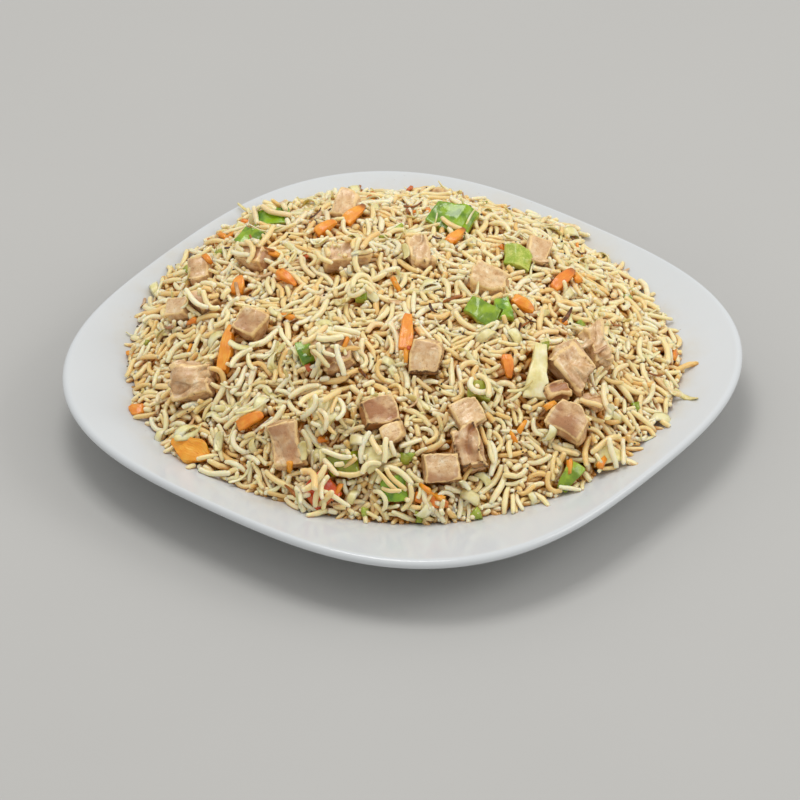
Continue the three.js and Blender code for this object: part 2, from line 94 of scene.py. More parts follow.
# %% A tree whose nodes all come from one method
class Tree:
    """A shader or Geometry Nodes tree."""

    def __init__(self, tree):
        self.tree = tree

    def add(self, kind, settings=None, inputs=None, output=0):
        """Adds a node, sets it up, feeds its sockets and returns one of its outputs."""
        node = self.tree.nodes.new(kind)
        for name, setting in (settings or {}).items():
            if name == "stops":
                set_stops(node.color_ramp, setting)
            else:
                setattr(node, name, setting)
        for name, value in (inputs or {}).items():
            if isinstance(value, Value):
                self.tree.links.new(value.socket, node.inputs[name])
            else:
                node.inputs[name].default_value = value
        return Value(self, node.outputs[output]) if len(node.outputs) else None

    def maths(self, operation, first, second=0.0):
        return self.add("ShaderNodeMath", {"operation": operation}, {0: first, 1: second})

    def vector(self, operation, first, second):
        return self.add("ShaderNodeVectorMath", {"operation": operation}, {0: first, 1: second})

    def mix(self, share, first, second):
        """A blend of two colours, at the sockets that a Mix node keeps for colours."""
        settings = {"data_type": "RGBA", "clamp_factor": True}
        return self.add("ShaderNodeMix", settings, {0: share, 6: first, 7: second}, 2)

    def step(self, value, low, high):
        """A soft step: 0 below low, 1 above high."""
        inputs = {"Value": value, "From Min": low, "From Max": high}
        return self.add("ShaderNodeMapRange", {"interpolation_type": "SMOOTHSTEP"}, inputs)

    def ramp(self, value, stops):
        return self.add("ShaderNodeValToRGB", {"stops": stops}, {"Fac": value})

    def noise(self, place, scale, detail=2.0, roughness=0.5):
        """Cloudy noise from 0 to 1, with about this many clouds for each metre."""
        inputs = {"Vector": place, "Scale": scale, "Detail": detail, "Roughness": roughness}
        return self.add("ShaderNodeTexNoise", {}, inputs)

    def attribute(self, name, output="Fac"):
        """What the mesh keeps under this name at each of its points."""
        return self.add("ShaderNodeAttribute", {"attribute_name": name}, {}, output)

    def bump(self, height, depth):
        """Relief in the shading, depth metres from its lowest to its highest."""
        return self.add("ShaderNodeBump", {}, {"Height": height, "Distance": depth}, "Normal")

    def surface(self, **sockets):
        """The shader that ends a finish. Its sockets are named with _ for a space."""
        inputs = {name.replace("_", " "): value for name, value in sockets.items()}
        shader = self.add("ShaderNodeBsdfPrincipled", {}, inputs)
        self.add("ShaderNodeOutputMaterial", {}, {"Surface": shader})


def set_stops(ramp, stops):
    """Gives a colour ramp its (place, colour) stops."""
    while len(ramp.elements) < len(stops):
        ramp.elements.new(1.0)
    for element, (place, colour) in zip(ramp.elements, stops):
        element.position = place
        element.color = colour


def new_finish(name):
    """An empty material, its tree, and the place on the piece that its patterns read."""
    material = bpy.data.materials.new(name)
    material.use_nodes = True
    material.node_tree.nodes.clear()
    tree = Tree(material.node_tree)
    return material, tree, tree.add("ShaderNodeTexCoord", {}, {}, "Object")


def colour(red, green, blue):
    """A colour as it reads on a screen, 0 to 255, turned into the linear values that shaders use."""
    parts = [c / 255 for c in (red, green, blue)]
    linear = [c / 12.92 if c < 0.04045 else ((c + 0.055) / 1.055) ** 2.4 for c in parts]
    return (*linear, 1.0)


LIGHT_DEPTH = 0.002  # how far light goes into cooked food, in metres
print("a middle grey on the screen is", round(colour(128, 128, 128)[0], 2), "of white as light")

# %% Geometry Nodes groups and how one is run
def new_group(name, sockets):
    """A Geometry Nodes group with a geometry in and out, and named inputs for its sizes."""
    group = bpy.data.node_groups.new(name, "GeometryNodeTree")
    group.interface.new_socket("Geometry", in_out="INPUT", socket_type="NodeSocketGeometry")
    group.interface.new_socket("Geometry", in_out="OUTPUT", socket_type="NodeSocketGeometry")
    for label, kind in sockets.items():
        group.interface.new_socket(label, in_out="INPUT", socket_type="NodeSocket" + kind)
    tree = Tree(group)
    entry = group.nodes.new("NodeGroupInput")
    given = {socket.name: Value(tree, socket) for socket in entry.outputs if socket.name}
    return group, tree, given


def end_group(tree, geometry, material):
    """Ends a group in plain geometry that carries its finish."""
    plain = tree.add("GeometryNodeRealizeInstances", {}, {"Geometry": geometry})
    finished = tree.add("GeometryNodeSetMaterial", {}, {"Geometry": plain, "Material": material})
    tree.add("NodeGroupOutput", {}, {"Geometry": finished})


def run_group(mesh, group, values):
    """Runs a group on a mesh and returns the plain mesh that comes out."""
    carrier = bpy.data.objects.new(group.name, mesh)
    bpy.context.scene.collection.objects.link(carrier)
    modifier = carrier.modifiers.new(group.name, "NODES")
    modifier.node_group = group
    for socket in group.interface.items_tree:
        if socket.in_out == "INPUT" and socket.name in values:
            modifier[socket.identifier] = values[socket.name]
    made = plain_mesh(carrier)
    carrier.modifiers.remove(modifier)
    bpy.data.objects.remove(carrier)
    return made


def plain_mesh(piece):
    """A piece's mesh with its modifiers worked in."""
    graph = bpy.context.evaluated_depsgraph_get()
    evaluated = piece.evaluated_get(graph)
    return bpy.data.meshes.new_from_object(evaluated, preserve_all_data_layers=True, depsgraph=graph)


# %% [markdown]
# ## The plate's form in numbers
#
# The plate is a round coupe plate that was pressed soft-square: its rim swells at four corners and
# draws in at the sides. Every later step asks how high the plate is at some place, so its form is
# kept as functions. A sculpted mesh would look the same, but nothing could be laid on it so exactly.

# %% The plate's sizes and its height at any place
CORNER_TO_CORNER = 250.0
SQUARENESS = 0.05
PLATE_THICKNESS = 3.6
FLOOR_HEIGHT = 5.0
WELL_RADIUS = 69.0
WALL_SLOPE = 0.7
RIM_START = 84.0
RIM_SLOPE = 0.27
BEND_LENGTH = 9.0
FOOT_RADIUS = 63.0
FOOT_WIDTH = 4.0
FOOT_RECESS = 1.2
SQUARING_ROUNDS = 6  # how often the sum that undoes the squaring is repeated
MEAN_RADIUS = CORNER_TO_CORNER / 2 / (1 + SQUARENESS)
LIP_RADIUS = PLATE_THICKNESS / 2
INNER_EDGE = MEAN_RADIUS - LIP_RADIUS * (1 + math.sin(math.atan(RIM_SLOPE)))


def bend(u):
    """Turns a level line into one that rises by 1 for each 1 outwards."""
    return (u + np.hypot(u, BEND_LENGTH)) / 2


def inner_height(radius):
    """The height of the plate's top at a radius of the round plate."""
    rise = WALL_SLOPE * (bend(radius - WELL_RADIUS) - bend(-WELL_RADIUS))
    ease = (WALL_SLOPE - RIM_SLOPE) * (bend(radius - RIM_START) - bend(-RIM_START))
    return FLOOR_HEIGHT + rise - ease


def squaring(radius, angle):
    """How much further out the squared plate reaches than the round one."""
    return 1 + SQUARENESS * (radius / MEAN_RADIUS) ** 2 * np.cos(4 * angle)


def plate_top(x, y):
    """The height of the plate's top under a place seen from above."""
    distance = np.hypot(x, y)
    angle = np.arctan2(y, x)
    radius = distance
    for _ in range(SQUARING_ROUNDS):
        radius = distance / squaring(radius, angle)
    return inner_height(radius)


RIM_HEIGHT = float(inner_height(INNER_EDGE))
print("the plate's lip is", round(RIM_HEIGHT, 1), "mm above the table")

# %% [markdown]
# ## The mound's form in numbers
#
# Spooned rice settles into a low dome with an uneven outline, steeper at its edge than on top. The
# grains will be laid until they reach this dome, so the whole heap keeps the solid model's form. A
# physics simulation of thousands of grains would spread out as it liked, and it would take hours.

# %% The mound's outline and its height at any place
HEAP_RADIUS = 100.6
HEAP_BACKWARD = 9.1
HEAP_RIGHTWARD = 1.3
HEAP_SUMMIT = 56.0
DOME_POWER = 3
LUMP_HEIGHT = 1.3


def heap_edge(angle):
    """How far the rice reaches from the middle in each direction."""
    uneven = -1.7 * np.sin(2 * angle) - 1.9 * np.sin(3 * angle) + 0.9 * np.cos(4 * angle)
    return HEAP_RADIUS + HEAP_BACKWARD * np.sin(angle) + HEAP_RIGHTWARD * np.cos(angle) + uneven


def lumps(x, y):
    """The slow rise and fall of the mound."""
    long = np.sin(x / 13 + 0.8) * np.cos(y / 15 - 0.4)
    short = 0.6 * np.sin((x + y) / 9 + 2) * np.cos((x - y) / 11)
    return LUMP_HEIGHT * (long + short)


def heap_share(x, y):
    """0 in the middle of the mound, 1 at its outline."""
    return np.hypot(x, y) / heap_edge(np.arctan2(y, x))


def heap_height(x, y):
    """The height of the mound, or of the plate where there is no rice."""
    angle = np.arctan2(y, x)
    edge = heap_edge(angle)
    at_edge = plate_top(edge * np.cos(angle), edge * np.sin(angle))
    share = np.minimum(np.hypot(x, y) / edge, 1.0)
    dome = at_edge + (HEAP_SUMMIT - at_edge + lumps(x, y)) * (1 - share**DOME_POWER)
    return np.where(share < 1, dome, plate_top(x, y))


print("the mound is", round(float(heap_height(0.0, 0.0)), 1), "mm high in the middle")

# %% [markdown]
# ## The camera
#
# The plate is seen corner-on from about 35 degrees above the table, through a long lens that hardly
# narrows the far side. The camera could be moved until the view looks right. Instead it is placed by
# the angles and the distance that fit the plate's outline, and it is aimed at the middle of the rim.

# %% Place the camera
ELEVATION = math.radians(35.39)
PLATE_TURN = math.radians(7.66)
DISTANCE = 3573.0
PIXELS_PER_MM = 2.7315
PICTURE_SIZE = 800
RIM_MIDDLE_SEEN = (403.0, 360.6)  # the pixel at which the middle of the rim is seen
SENSOR_WIDTH = 36.0

TO_VIEWER = Vector((
    -math.sin(PLATE_TURN) * math.cos(ELEVATION),
    -math.cos(PLATE_TURN) * math.cos(ELEVATION),
    math.sin(ELEVATION),
))
RIGHTWARD = Vector((math.cos(PLATE_TURN), -math.sin(PLATE_TURN), 0))
UPWARD = TO_VIEWER.cross(RIGHTWARD)


def make_camera():
    """A camera with the plate's rim in the middle of its view, or a little beside it as photographed."""
    data = bpy.data.cameras.new("camera")
    data.sensor_width = SENSOR_WIDTH
    data.lens = PIXELS_PER_MM * DISTANCE * SENSOR_WIDTH / PICTURE_SIZE
    data.clip_start = 0.1
    data.clip_end = 100
    camera = bpy.data.objects.new("camera", data)
    rim_middle = Vector((0, 0, RIM_HEIGHT))
    right = (PICTURE_SIZE / 2 - RIM_MIDDLE_SEEN[0]) / PIXELS_PER_MM
    up = (RIM_MIDDLE_SEEN[1] - PICTURE_SIZE / 2) / PIXELS_PER_MM
    aim = rim_middle + RIGHTWARD * right + UPWARD * up
    camera.location = (rim_middle + TO_VIEWER * DISTANCE) * MM
    line_of_sight = aim * MM - camera.location
    camera.rotation_euler = line_of_sight.to_track_quat("-Z", "Y").to_euler()
    bpy.context.scene.collection.objects.link(camera)
    bpy.context.scene.camera = camera
    return camera


camera = make_camera()
print("a lens of", round(camera.data.lens), "mm")

# %% [markdown]
# ## Light and floor
#
# Food is usually lit from behind and above with a large soft window, so that the tops of the grains
# shine and their fronts fall into warm shade. A second, weaker light fills from the right. One
# single bright sky would light every gap between the grains and make the heap look flat.

# %% Lights, sky and floor
KEY_POWER = 7.6
SIDE_POWER = 4.2
SKY_STRENGTH = 0.66
FLOOR_COLOUR = colour(186, 186, 184)


def make_area_light(name, power, size, place, tint):
    """A square lamp that shines at the plate."""
    data = bpy.data.lights.new(name, "AREA")
    data.energy = power
    data.size = size
    data.color = tint
    lamp = bpy.data.objects.new(name, data)
    lamp.location = place
    lamp.rotation_euler = (-Vector(place)).to_track_quat("-Z", "Y").to_euler()
    bpy.context.scene.collection.objects.link(lamp)


def make_floor():
    """A wide, pale, matt floor at the height of the plate's foot."""
    half = 20.0
    mesh = bpy.data.meshes.new("floor")
    corners = [(-half, -half, 0), (half, -half, 0), (half, half, 0), (-half, half, 0)]
    mesh.from_pydata(corners, [], [(0, 1, 2, 3)])
    material, tree, place = new_finish("floor")
    cloud = tree.noise(place, 9.0, 3.0)
    darker = (*(part * 0.96 for part in FLOOR_COLOUR[:3]), 1.0)
    tree.surface(Base_Color=tree.mix(cloud, FLOOR_COLOUR, darker), Roughness=0.8)
    mesh.materials.append(material)
    floor = bpy.data.objects.new("floor", mesh)
    bpy.context.scene.collection.objects.link(floor)


make_area_light("window", KEY_POWER, 0.6, (-0.15, 0.22, 1.45), (1.0, 0.985, 0.96))
make_area_light("side_window", SIDE_POWER, 0.7, (1.1, -0.25, 0.9), (1.0, 0.99, 0.97))
make_floor()
world = bpy.context.scene.world or bpy.data.worlds.new("sky")
bpy.context.scene.world = world
world.use_nodes = True
world.node_tree.nodes["Background"].inputs["Color"].default_value = (1.0, 0.985, 0.965, 1.0)
world.node_tree.nodes["Background"].inputs["Strength"].default_value = SKY_STRENGTH
bpy.context.scene.view_settings.view_transform = "Standard"
print("two lamps, a sky and a floor")

# %% [markdown]
# ## The plate
#
# The plate is opal glass: white all through, with a fire-polished, slightly wavy surface and a
# rounded lip. Its shape follows a rule, so Geometry Nodes make it: a grid is wrapped round the axis,
# each row of it takes its radius and height from one point of the drawn profile, and the corners are
# pushed out. Spinning the profile by hand would need the squaring as a second step.

# %% Draw the plate's profile
LIP_STEPS = 14
UNDER_STEP = 2.0
TOP_POINTS = 72


def outer_point(radius):
    """A point of the underside, one thickness below the top and square to it."""
    step = 0.5
    slope = (inner_height(radius + step) - inner_height(radius - step)) / (2 * step)
    down = np.array([slope, -1.0]) * PLATE_THICKNESS / math.hypot(slope, 1)
    return np.array([radius, inner_height(radius)]) + down


def foot_points():
    """The recess under the plate and the rounded ring that it stands on."""
    inside = FOOT_RADIUS - FOOT_WIDTH
    recess = [(r, FOOT_RECESS) for r in (0, 20, 40, 52, inside - 2.2)]
    ring = [(inside - 1.0, 0.95), (inside - 0.4, 0.35), (inside + 0.4, 0.05), (inside + 1.2, 0)]
    return recess + ring + [(FOOT_RADIUS - 0.8, 0), (FOOT_RADIUS + 0.1, 0.15), (FOOT_RADIUS + 0.9, 0.6)]


def lip_points():
    """Half a circle from the underside round to the top."""
    top = np.array([INNER_EDGE, inner_height(INNER_EDGE)])
    bottom = outer_point(INNER_EDGE)
    middle = (top + bottom) / 2
    start = math.atan2(bottom[1] - middle[1], bottom[0] - middle[0])
    turns = start + np.linspace(0, math.pi, LIP_STEPS)
    return [middle + LIP_RADIUS * np.array([math.cos(t), math.sin(t)]) for t in turns]


def plate_profile():
    """The whole outline of half the plate's section, from under its middle round to the top."""
    outside = [outer_point(r) for r in np.arange(FOOT_RADIUS + 3, INNER_EDGE - 1, UNDER_STEP)]
    inside = [(r, inner_height(r)) for r in np.linspace(INNER_EDGE - 0.8, 0, TOP_POINTS)]
    return np.array([*foot_points(), *outside, *lip_points(), *inside])


profile = plate_profile()
print("a profile of", len(profile), "points")

# %% Wrap a grid round the axis with Geometry Nodes
PLATE_SIDES = 288


def plate_group(material, rows):
    """Turns a drawn profile round the axis and pushes it out at four corners."""
    sockets = {"Sides": "Int", "Corner swell": "Float", "Mean radius": "Float"}
    group, tree, given = new_group("soft_square_plate", sockets)
    grid = tree.add("GeometryNodeMeshGrid", {}, {
        "Size X": 1.0, "Size Y": 1.0, "Vertices X": given["Sides"] + 1, "Vertices Y": rows,
    })
    spot = tree.add("ShaderNodeSeparateXYZ", {}, {0: tree.add("GeometryNodeInputPosition")}, "X")
    angle = (spot + 0.5) * (2 * math.pi)
    row = tree.maths("FLOORED_MODULO", tree.add("GeometryNodeInputIndex"), float(rows))
    drawn = tree.add("GeometryNodeSampleIndex", {"data_type": "FLOAT_VECTOR"}, {
        "Geometry": given["Geometry"], "Value": tree.add("GeometryNodeInputPosition"), "Index": row,
    })
    radius = tree.add("ShaderNodeSeparateXYZ", {}, {0: drawn}, "X")
    height = tree.add("ShaderNodeSeparateXYZ", {}, {0: drawn}, "Z")
    swell = given["Corner swell"] * (radius / given["Mean radius"]) ** 2.0
    reach = radius * (1 + swell * tree.maths("COSINE", angle * 4.0))
    along_x = reach * tree.maths("COSINE", angle)
    along_y = reach * tree.maths("SINE", angle)
    place = tree.add("ShaderNodeCombineXYZ", {}, {"X": along_x, "Y": along_y, "Z": height})
    wrapped = tree.add("GeometryNodeSetPosition", {}, {"Geometry": grid, "Position": place})
    closed = tree.add("GeometryNodeMergeByDistance", {}, {"Geometry": wrapped, "Distance": 1e-6})
    end_group(tree, closed, material)
    return group


def profile_mesh():
    """The profile as a row of loose points in metres, for the group to read."""
    mesh = bpy.data.meshes.new("plate_profile")
    mesh.from_pydata([(r * MM, 0, z * MM) for r, z in profile], [], [])
    return mesh


# %% [markdown]
# ### The plate's finish
#
# Opal glass is glossy, faintly wavy and a trifle cool in colour. Near the rice it is no longer clean:
# oil leaves a thin warm film there, with a few crumbs of spice. A mask that is kept on the mesh tells
# the finish how near the rice is. A painted image would do it too, but not at every zoom.

# %% Make the glass
def glass_finish():
    """White opal glass, with oil and crumbs of spice near the rice."""
    material, tree, place = new_finish("opal_glass")
    near = tree.attribute("near_rice")
    blotch = tree.noise(place, 60.0, 4.0, 0.6)
    film = near * tree.step(blotch, 0.42, 0.75)
    specks = tree.step(tree.noise(place, 520.0, 1.0), 0.765, 0.8) * near
    clean = tree.mix(tree.noise(place, 14.0, 2.0), colour(207, 212, 215), colour(213, 217, 220))
    warm = tree.mix(film * 0.5, clean, colour(206, 194, 166))
    spiced = tree.mix(specks * 0.55, warm, colour(150, 104, 60))
    gloss = 0.12 + film * 0.16 + tree.noise(place, 90.0, 3.0) * 0.05
    waves = tree.bump(tree.noise(place, 26.0, 1.0), 0.25 * MM)
    tree.surface(Base_Color=spiced, Roughness=gloss, Normal=waves, IOR=1.5)
    return material


def keep_number(mesh, name, numbers):
    """Keeps one number for each point of a mesh, which a finish can read by its name."""
    mesh.attributes.new(name, "FLOAT", "POINT").data.foreach_set("value", np.asarray(numbers, np.float32))


def keep_vector(mesh, name, vectors):
    """Keeps three numbers for each point of a mesh."""
    flat = np.asarray(vectors, np.float32).ravel()
    mesh.attributes.new(name, "FLOAT_VECTOR", "POINT").data.foreach_set("vector", flat)


def points_of(mesh):
    """A mesh's points in millimetres."""
    flat = np.empty(len(mesh.vertices) * 3, np.float32)
    mesh.vertices.foreach_get("co", flat)
    return flat.reshape(-1, 3).astype(float) / MM


def add_piece(name, mesh, slot, *replaced):
    """Puts a finished mesh in the scene, on the body that carries it."""
    mesh.name = name
    mesh.shade_smooth()
    piece = bpy.data.objects.new(name, mesh)
    bpy.context.scene.collection.objects.link(piece)
    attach(piece, "root")
    if replaced:
        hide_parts(*replaced)
    mesh.calc_loop_triangles()
    print(name, "has", len(mesh.loop_triangles), "triangles")
    return piece


FILM_WIDTH = 13.0  # how far the oil reaches out from the rice
glass = glass_finish()
sizes = {"Sides": PLATE_SIDES, "Corner swell": SQUARENESS, "Mean radius": MEAN_RADIUS * MM}
plate_mesh = run_group(profile_mesh(), plate_group(glass, len(profile)), sizes)
spots = points_of(plate_mesh)
beyond = np.hypot(spots[:, 0], spots[:, 1]) - heap_edge(np.arctan2(spots[:, 1], spots[:, 0]))
on_top = spots[:, 2] > plate_top(spots[:, 0], spots[:, 1]) - 0.5
keep_number(plate_mesh, "near_rice", np.clip(1 - beyond / FILM_WIDTH, 0, 1) ** 1.5 * on_top)
add_piece("plate_glass", plate_mesh, "plate", "plate")

# %% [markdown]
# ## Noise for modelling
#
# Cut meat and cooked vegetables are never smooth: they are lumpy, grooved and torn. A Displace
# modifier could roughen them, but every piece has its own direction of fibres. So the meshes are
# roughened with a small noise function that reads places in a piece's own directions.

# %% Smooth noise on arrays of points
def noise_at(points, seed):
    """Smooth noise from -1 to 1 at each point, with one wave in about two units."""
    corner = np.floor(points).astype(np.int64)
    part = points - corner
    ease = part * part * (3 - 2 * part)
    total = np.zeros(len(points))
    for shift in np.ndindex(2, 2, 2):
        key = corner + shift
        mixed = key[:, 0] * 73856093 ^ key[:, 1] * 19349663 ^ key[:, 2] * 83492791 ^ seed * 50331653
        mixed = (mixed ^ (mixed >> 13)) * 1274126177 & 0x7FFFFFFF
        mixed = (mixed ^ (mixed >> 15)) * 668265263 & 0x7FFFFFFF
        weight = np.prod(np.where(shift, ease, 1 - ease), axis=1)
        total += (mixed / 0x3FFFFFFF - 1) * weight
    return total


def soft_step(value, low, high):
    """0 below low, 1 above high and smooth between."""
    share = np.clip((value - low) / (high - low), 0, 1)
    return share * share * (3 - 2 * share)


noise_test = noise_at(np.random.default_rng(SEED).uniform(0, 99, (999, 3)), 1)
print("noise between", round(noise_test.min(), 1), "and", round(noise_test.max(), 1))

# %% [markdown]
# ## Toppings from their solids
#
# Each topping has a plain closed solid with a few dozen faces, in its true place and size. Modelling
# every one anew would lose that place. Instead a copy of the solid is remeshed into small even
# squares, which rounds its cut edges as cooking does, and gives the relief something to move.

# %% Remesh a solid and measure it
RELAX_ROUNDS = 2
EDGE_ROUNDS = 6


class Part:
    """One topping: its points, faces and edges, and its own length, width and thickness directions."""

    def __init__(self, points, faces, edges):
        self.points = points
        self.faces = faces
        self.edges = edges
        self.middle = points.mean(axis=0)
        spread = points - self.middle
        _, directions = np.linalg.eigh(spread.T @ spread)
        self.axes = directions[:, ::-1].T  # rows: length, width, thickness
        outward = np.array([self.middle[0] / 60, self.middle[1] / 60, 1.0])
        if self.axes[2] @ outward < 0:
            self.axes[2] = -self.axes[2]
        self.axes[0] = np.cross(self.axes[1], self.axes[2])
        self.kept = {}

    def own(self):
        """The points as seen along the piece's own directions, in millimetres."""
        return (self.points - self.middle) @ self.axes.T

    def normals(self):
        """The direction that faces away from the piece at each point."""
        corners = self.points[self.faces]
        across = np.cross(corners[:, 2] - corners[:, 0], corners[:, 3] - corners[:, 1])
        total = np.zeros_like(self.points)
        for corner in range(4):
            for axis in range(3):
                found = np.bincount(self.faces[:, corner], across[:, axis], len(self.points))
                total[:, axis] += found
        return total / np.maximum(np.linalg.norm(total, axis=1, keepdims=True), 1e-9)

    def mean_near(self, points):
        """The mean place of each point's neighbours."""
        total = np.zeros_like(points)
        count = np.zeros(len(points))
        for a, b in ((0, 1), (1, 0)):
            for axis in range(3):
                near = points[self.edges[:, b], axis]
                total[:, axis] += np.bincount(self.edges[:, a], near, len(points))
            count += np.bincount(self.edges[:, a], minlength=len(points))
        return total / np.maximum(count, 1)[:, None]

    def relax(self):
        """Evens out the steps that remeshing leaves."""
        for _ in range(RELAX_ROUNDS):
            self.points = (self.points + self.mean_near(self.points)) / 2

    def sharpness(self):
        """How far each point stands out of what is round it: most at an edge, 0 on a flat face."""
        near = self.points
        for _ in range(EDGE_ROUNDS):
            near = self.mean_near(near)
        return ((self.points - near) * self.normals()).sum(axis=1)

    def raise_by(self, height):
        """Moves each point straight out of the surface by its own height."""
        self.points = self.points + self.normals() * height[:, None]

    def warp(self, size, depth, seed):
        """Pulls the piece out of shape by up to depth, in waves of this size."""
        waves = [noise_at(self.points / size, seed + k) for k in range(3)]
        self.points = self.points + depth * np.stack(waves, axis=1)


def remeshed(node, voxel):
    """A topping's solid as a Part of small even squares."""
    mesh = solids[node].data.copy()
    shell = bmesh.new()
    shell.from_mesh(mesh)
    bmesh.ops.remove_doubles(shell, verts=shell.verts, dist=1e-6)
    shell.to_mesh(mesh)
    shell.free()
    copy = bpy.data.objects.new(node + "_copy", mesh)
    bpy.context.scene.collection.objects.link(copy)
    even = copy.modifiers.new("even squares", "REMESH")
    even.mode = "VOXEL"
    even.voxel_size = voxel * MM
    fine = plain_mesh(copy)
    bpy.data.objects.remove(copy)
    faces = np.empty(len(fine.loops), np.int64)
    fine.loops.foreach_get("vertex_index", faces)
    edges = np.empty(len(fine.edges) * 2, np.int64)
    fine.edges.foreach_get("vertices", edges)
    part = Part(points_of(fine), faces.reshape(-1, 4), edges.reshape(-1, 2))
    part.relax()
    return part


def joined(name, parts, material):
    """One mesh from many parts, with all that they keep at their points."""
    starts = np.cumsum([0] + [len(part.points) for part in parts])
    points = np.concatenate([part.points for part in parts]) * MM
    faces = np.concatenate([part.faces + start for part, start in zip(parts, starts)])
    mesh = bpy.data.meshes.new(name)
    mesh.from_pydata(points.tolist(), [], faces.tolist())
    for kept in parts[0].kept:
        values = np.concatenate([part.kept[kept] for part in parts])
        keep = keep_number if values.ndim == 1 else keep_vector
        keep(mesh, kept, values)
    mesh.materials.append(material)
    return mesh


def nodes_of(kind):
    """The names of the solids of one kind."""
    return sorted(name for name in solids if name.startswith(kind))


def number_of(node):
    """The number at the end of a solid's name."""
    return int(node[-2:])


SEED_STEP = 10  # how far apart the seeds of two toppings are, as each draws several kinds of noise


def dress(kind, name, material, make_part, first_seed):
    """Makes one piece of all the toppings of a kind, and returns their parts by node."""
    nodes = nodes_of(kind)
    parts = [make_part(node, first_seed + SEED_STEP * i) for i, node in enumerate(nodes)]
    add_piece(name, joined(kind, parts, material), kind, *nodes)
    return dict(zip(nodes, parts))


print(len(nodes_of("chicken")), "pieces of chicken and", len(nodes_of("carrot")), "of carrot")

# %% [markdown]
# ## Chicken
#
# The chicken is breast meat, cut in dice and fried. A cut face shows the grain of the meat as fine
# grooves that all run one way, with a few deeper splits where it starts to come apart. The pan
# browns its edges first. So the relief is long noise along the fibres, and masks are kept for the
# finish, such as how sharp the edge is and which sides lay on the pan. The browning mask also holds
# painted shade, browner on the sides and undersides than on top. The grooves and splits are a little
# darker as painted shade, and a few pieces at the front are toned darker as painted shade.

# %% Grooves, splits and pan marks
CHICKEN_VOXEL = 0.5
TORN = {2, 7, 10, 11, 12, 13, 14, 21, 24}  # pieces pulled apart along their fibres
BROWNING = {1: 0.6, 2: 0.3, 3: 0.4, 4: 0.6, 5: 0.35, 6: 0.6, 7: 0.8, 8: 0.7, 9: 0.5, 10: 0.55, 13: 0.3}
# The darkest tones, on pieces 4, 7, 9 and 11 at the front, are partly painted shade: the faces they turn to
# the camera lie in shade.
TONES_AND_SHADE = {  # how far a piece is from pale cream to brown
    1: 0.35, 2: 0.5, 3: 0.7, 4: 0.9, 5: 0.1, 6: 0.15, 7: 0.9, 8: 0.7, 9: 0.8, 10: 0.4, 11: 0.9, 12: 0.4,
    13: 0.2, 14: 0.35, 15: 0.6, 16: 0.6, 17: 0.35, 18: 0.4, 19: 0.7, 20: 0.5, 21: 0.2, 22: 0.1,
    23: 0.2, 24: 0.1,
}
USUAL_TONE = 0.4


def chicken_part(node, seed):
    """A dice of chicken, grooved along its fibres, with where the pan browned it and where painted shade
    darkens it.
    """
    part = remeshed(node, CHICKEN_VOXEL)
    rng = np.random.default_rng(SEED + seed)
    number = number_of(node)
    torn = 1.0 if number in TORN else 0.0
    edge = part.sharpness()
    part.warp(7.0, 1.3 + 0.9 * torn, seed + 5)
    own = part.own()
    lean = rng.uniform(-0.5, 0.5)
    turn = np.array([[math.cos(lean), math.sin(lean), 0], [-math.sin(lean), math.cos(lean), 0], [0, 0, 1]])
    fibre = own @ turn.T
    # A wave's sizes are along, across and through the fibres, and all depths are in millimetres.
    lump = noise_at(own / 5.0, seed)
    strand = noise_at(fibre / [9, 1.7, 1.7], seed + 1)
    groove = noise_at(fibre / [5, 0.8, 0.8], seed + 2)
    split = 1 - np.abs(noise_at(fibre / [10, 2.6, 2.6], seed + 3))
    tear = 1 - np.abs(noise_at(fibre / [14, 3.2, 3.2], seed + 4))
    relief = 0.2 * lump + (0.1 + 0.45 * torn) * strand + (0.05 + 0.08 * torn) * groove
    relief -= 0.35 * soft_step(split, 0.94, 1.0) + torn * (1.2 * soft_step(tear, 0.82, 1.0) - 0.3)
    part.raise_by(relief)
    pan = rng.normal(size=3) * [1, 1, 0.3]
    facing = part.normals() @ (pan / np.linalg.norm(pan))
    upward = part.normals()[:, 2]
    browned = BROWNING.get(number, rng.uniform(0.2, 0.5))
    part.kept["fibre"] = fibre
    part.kept["edge"] = np.clip(edge / 0.2, 0, 1)
    # Painted shade: dip is highest in the grooves and splits, where the finish makes the meat darker.
    part.kept["dip"] = np.clip(0.5 - 0.35 * strand - 0.25 * groove + 0.5 * soft_step(split, 0.9, 1.0), 0, 1)
    # Browning where the pan faced, plus painted shade: the upward term keeps the tops pale and makes the
    # sides and undersides browner.
    part.kept["sear"] = np.clip(browned * (0.6 + 0.5 * facing - 0.6 * upward + 0.35 * lump), 0, 1)
    part.kept["tone"] = np.full(len(own), TONES_AND_SHADE.get(number, USUAL_TONE))
    return part


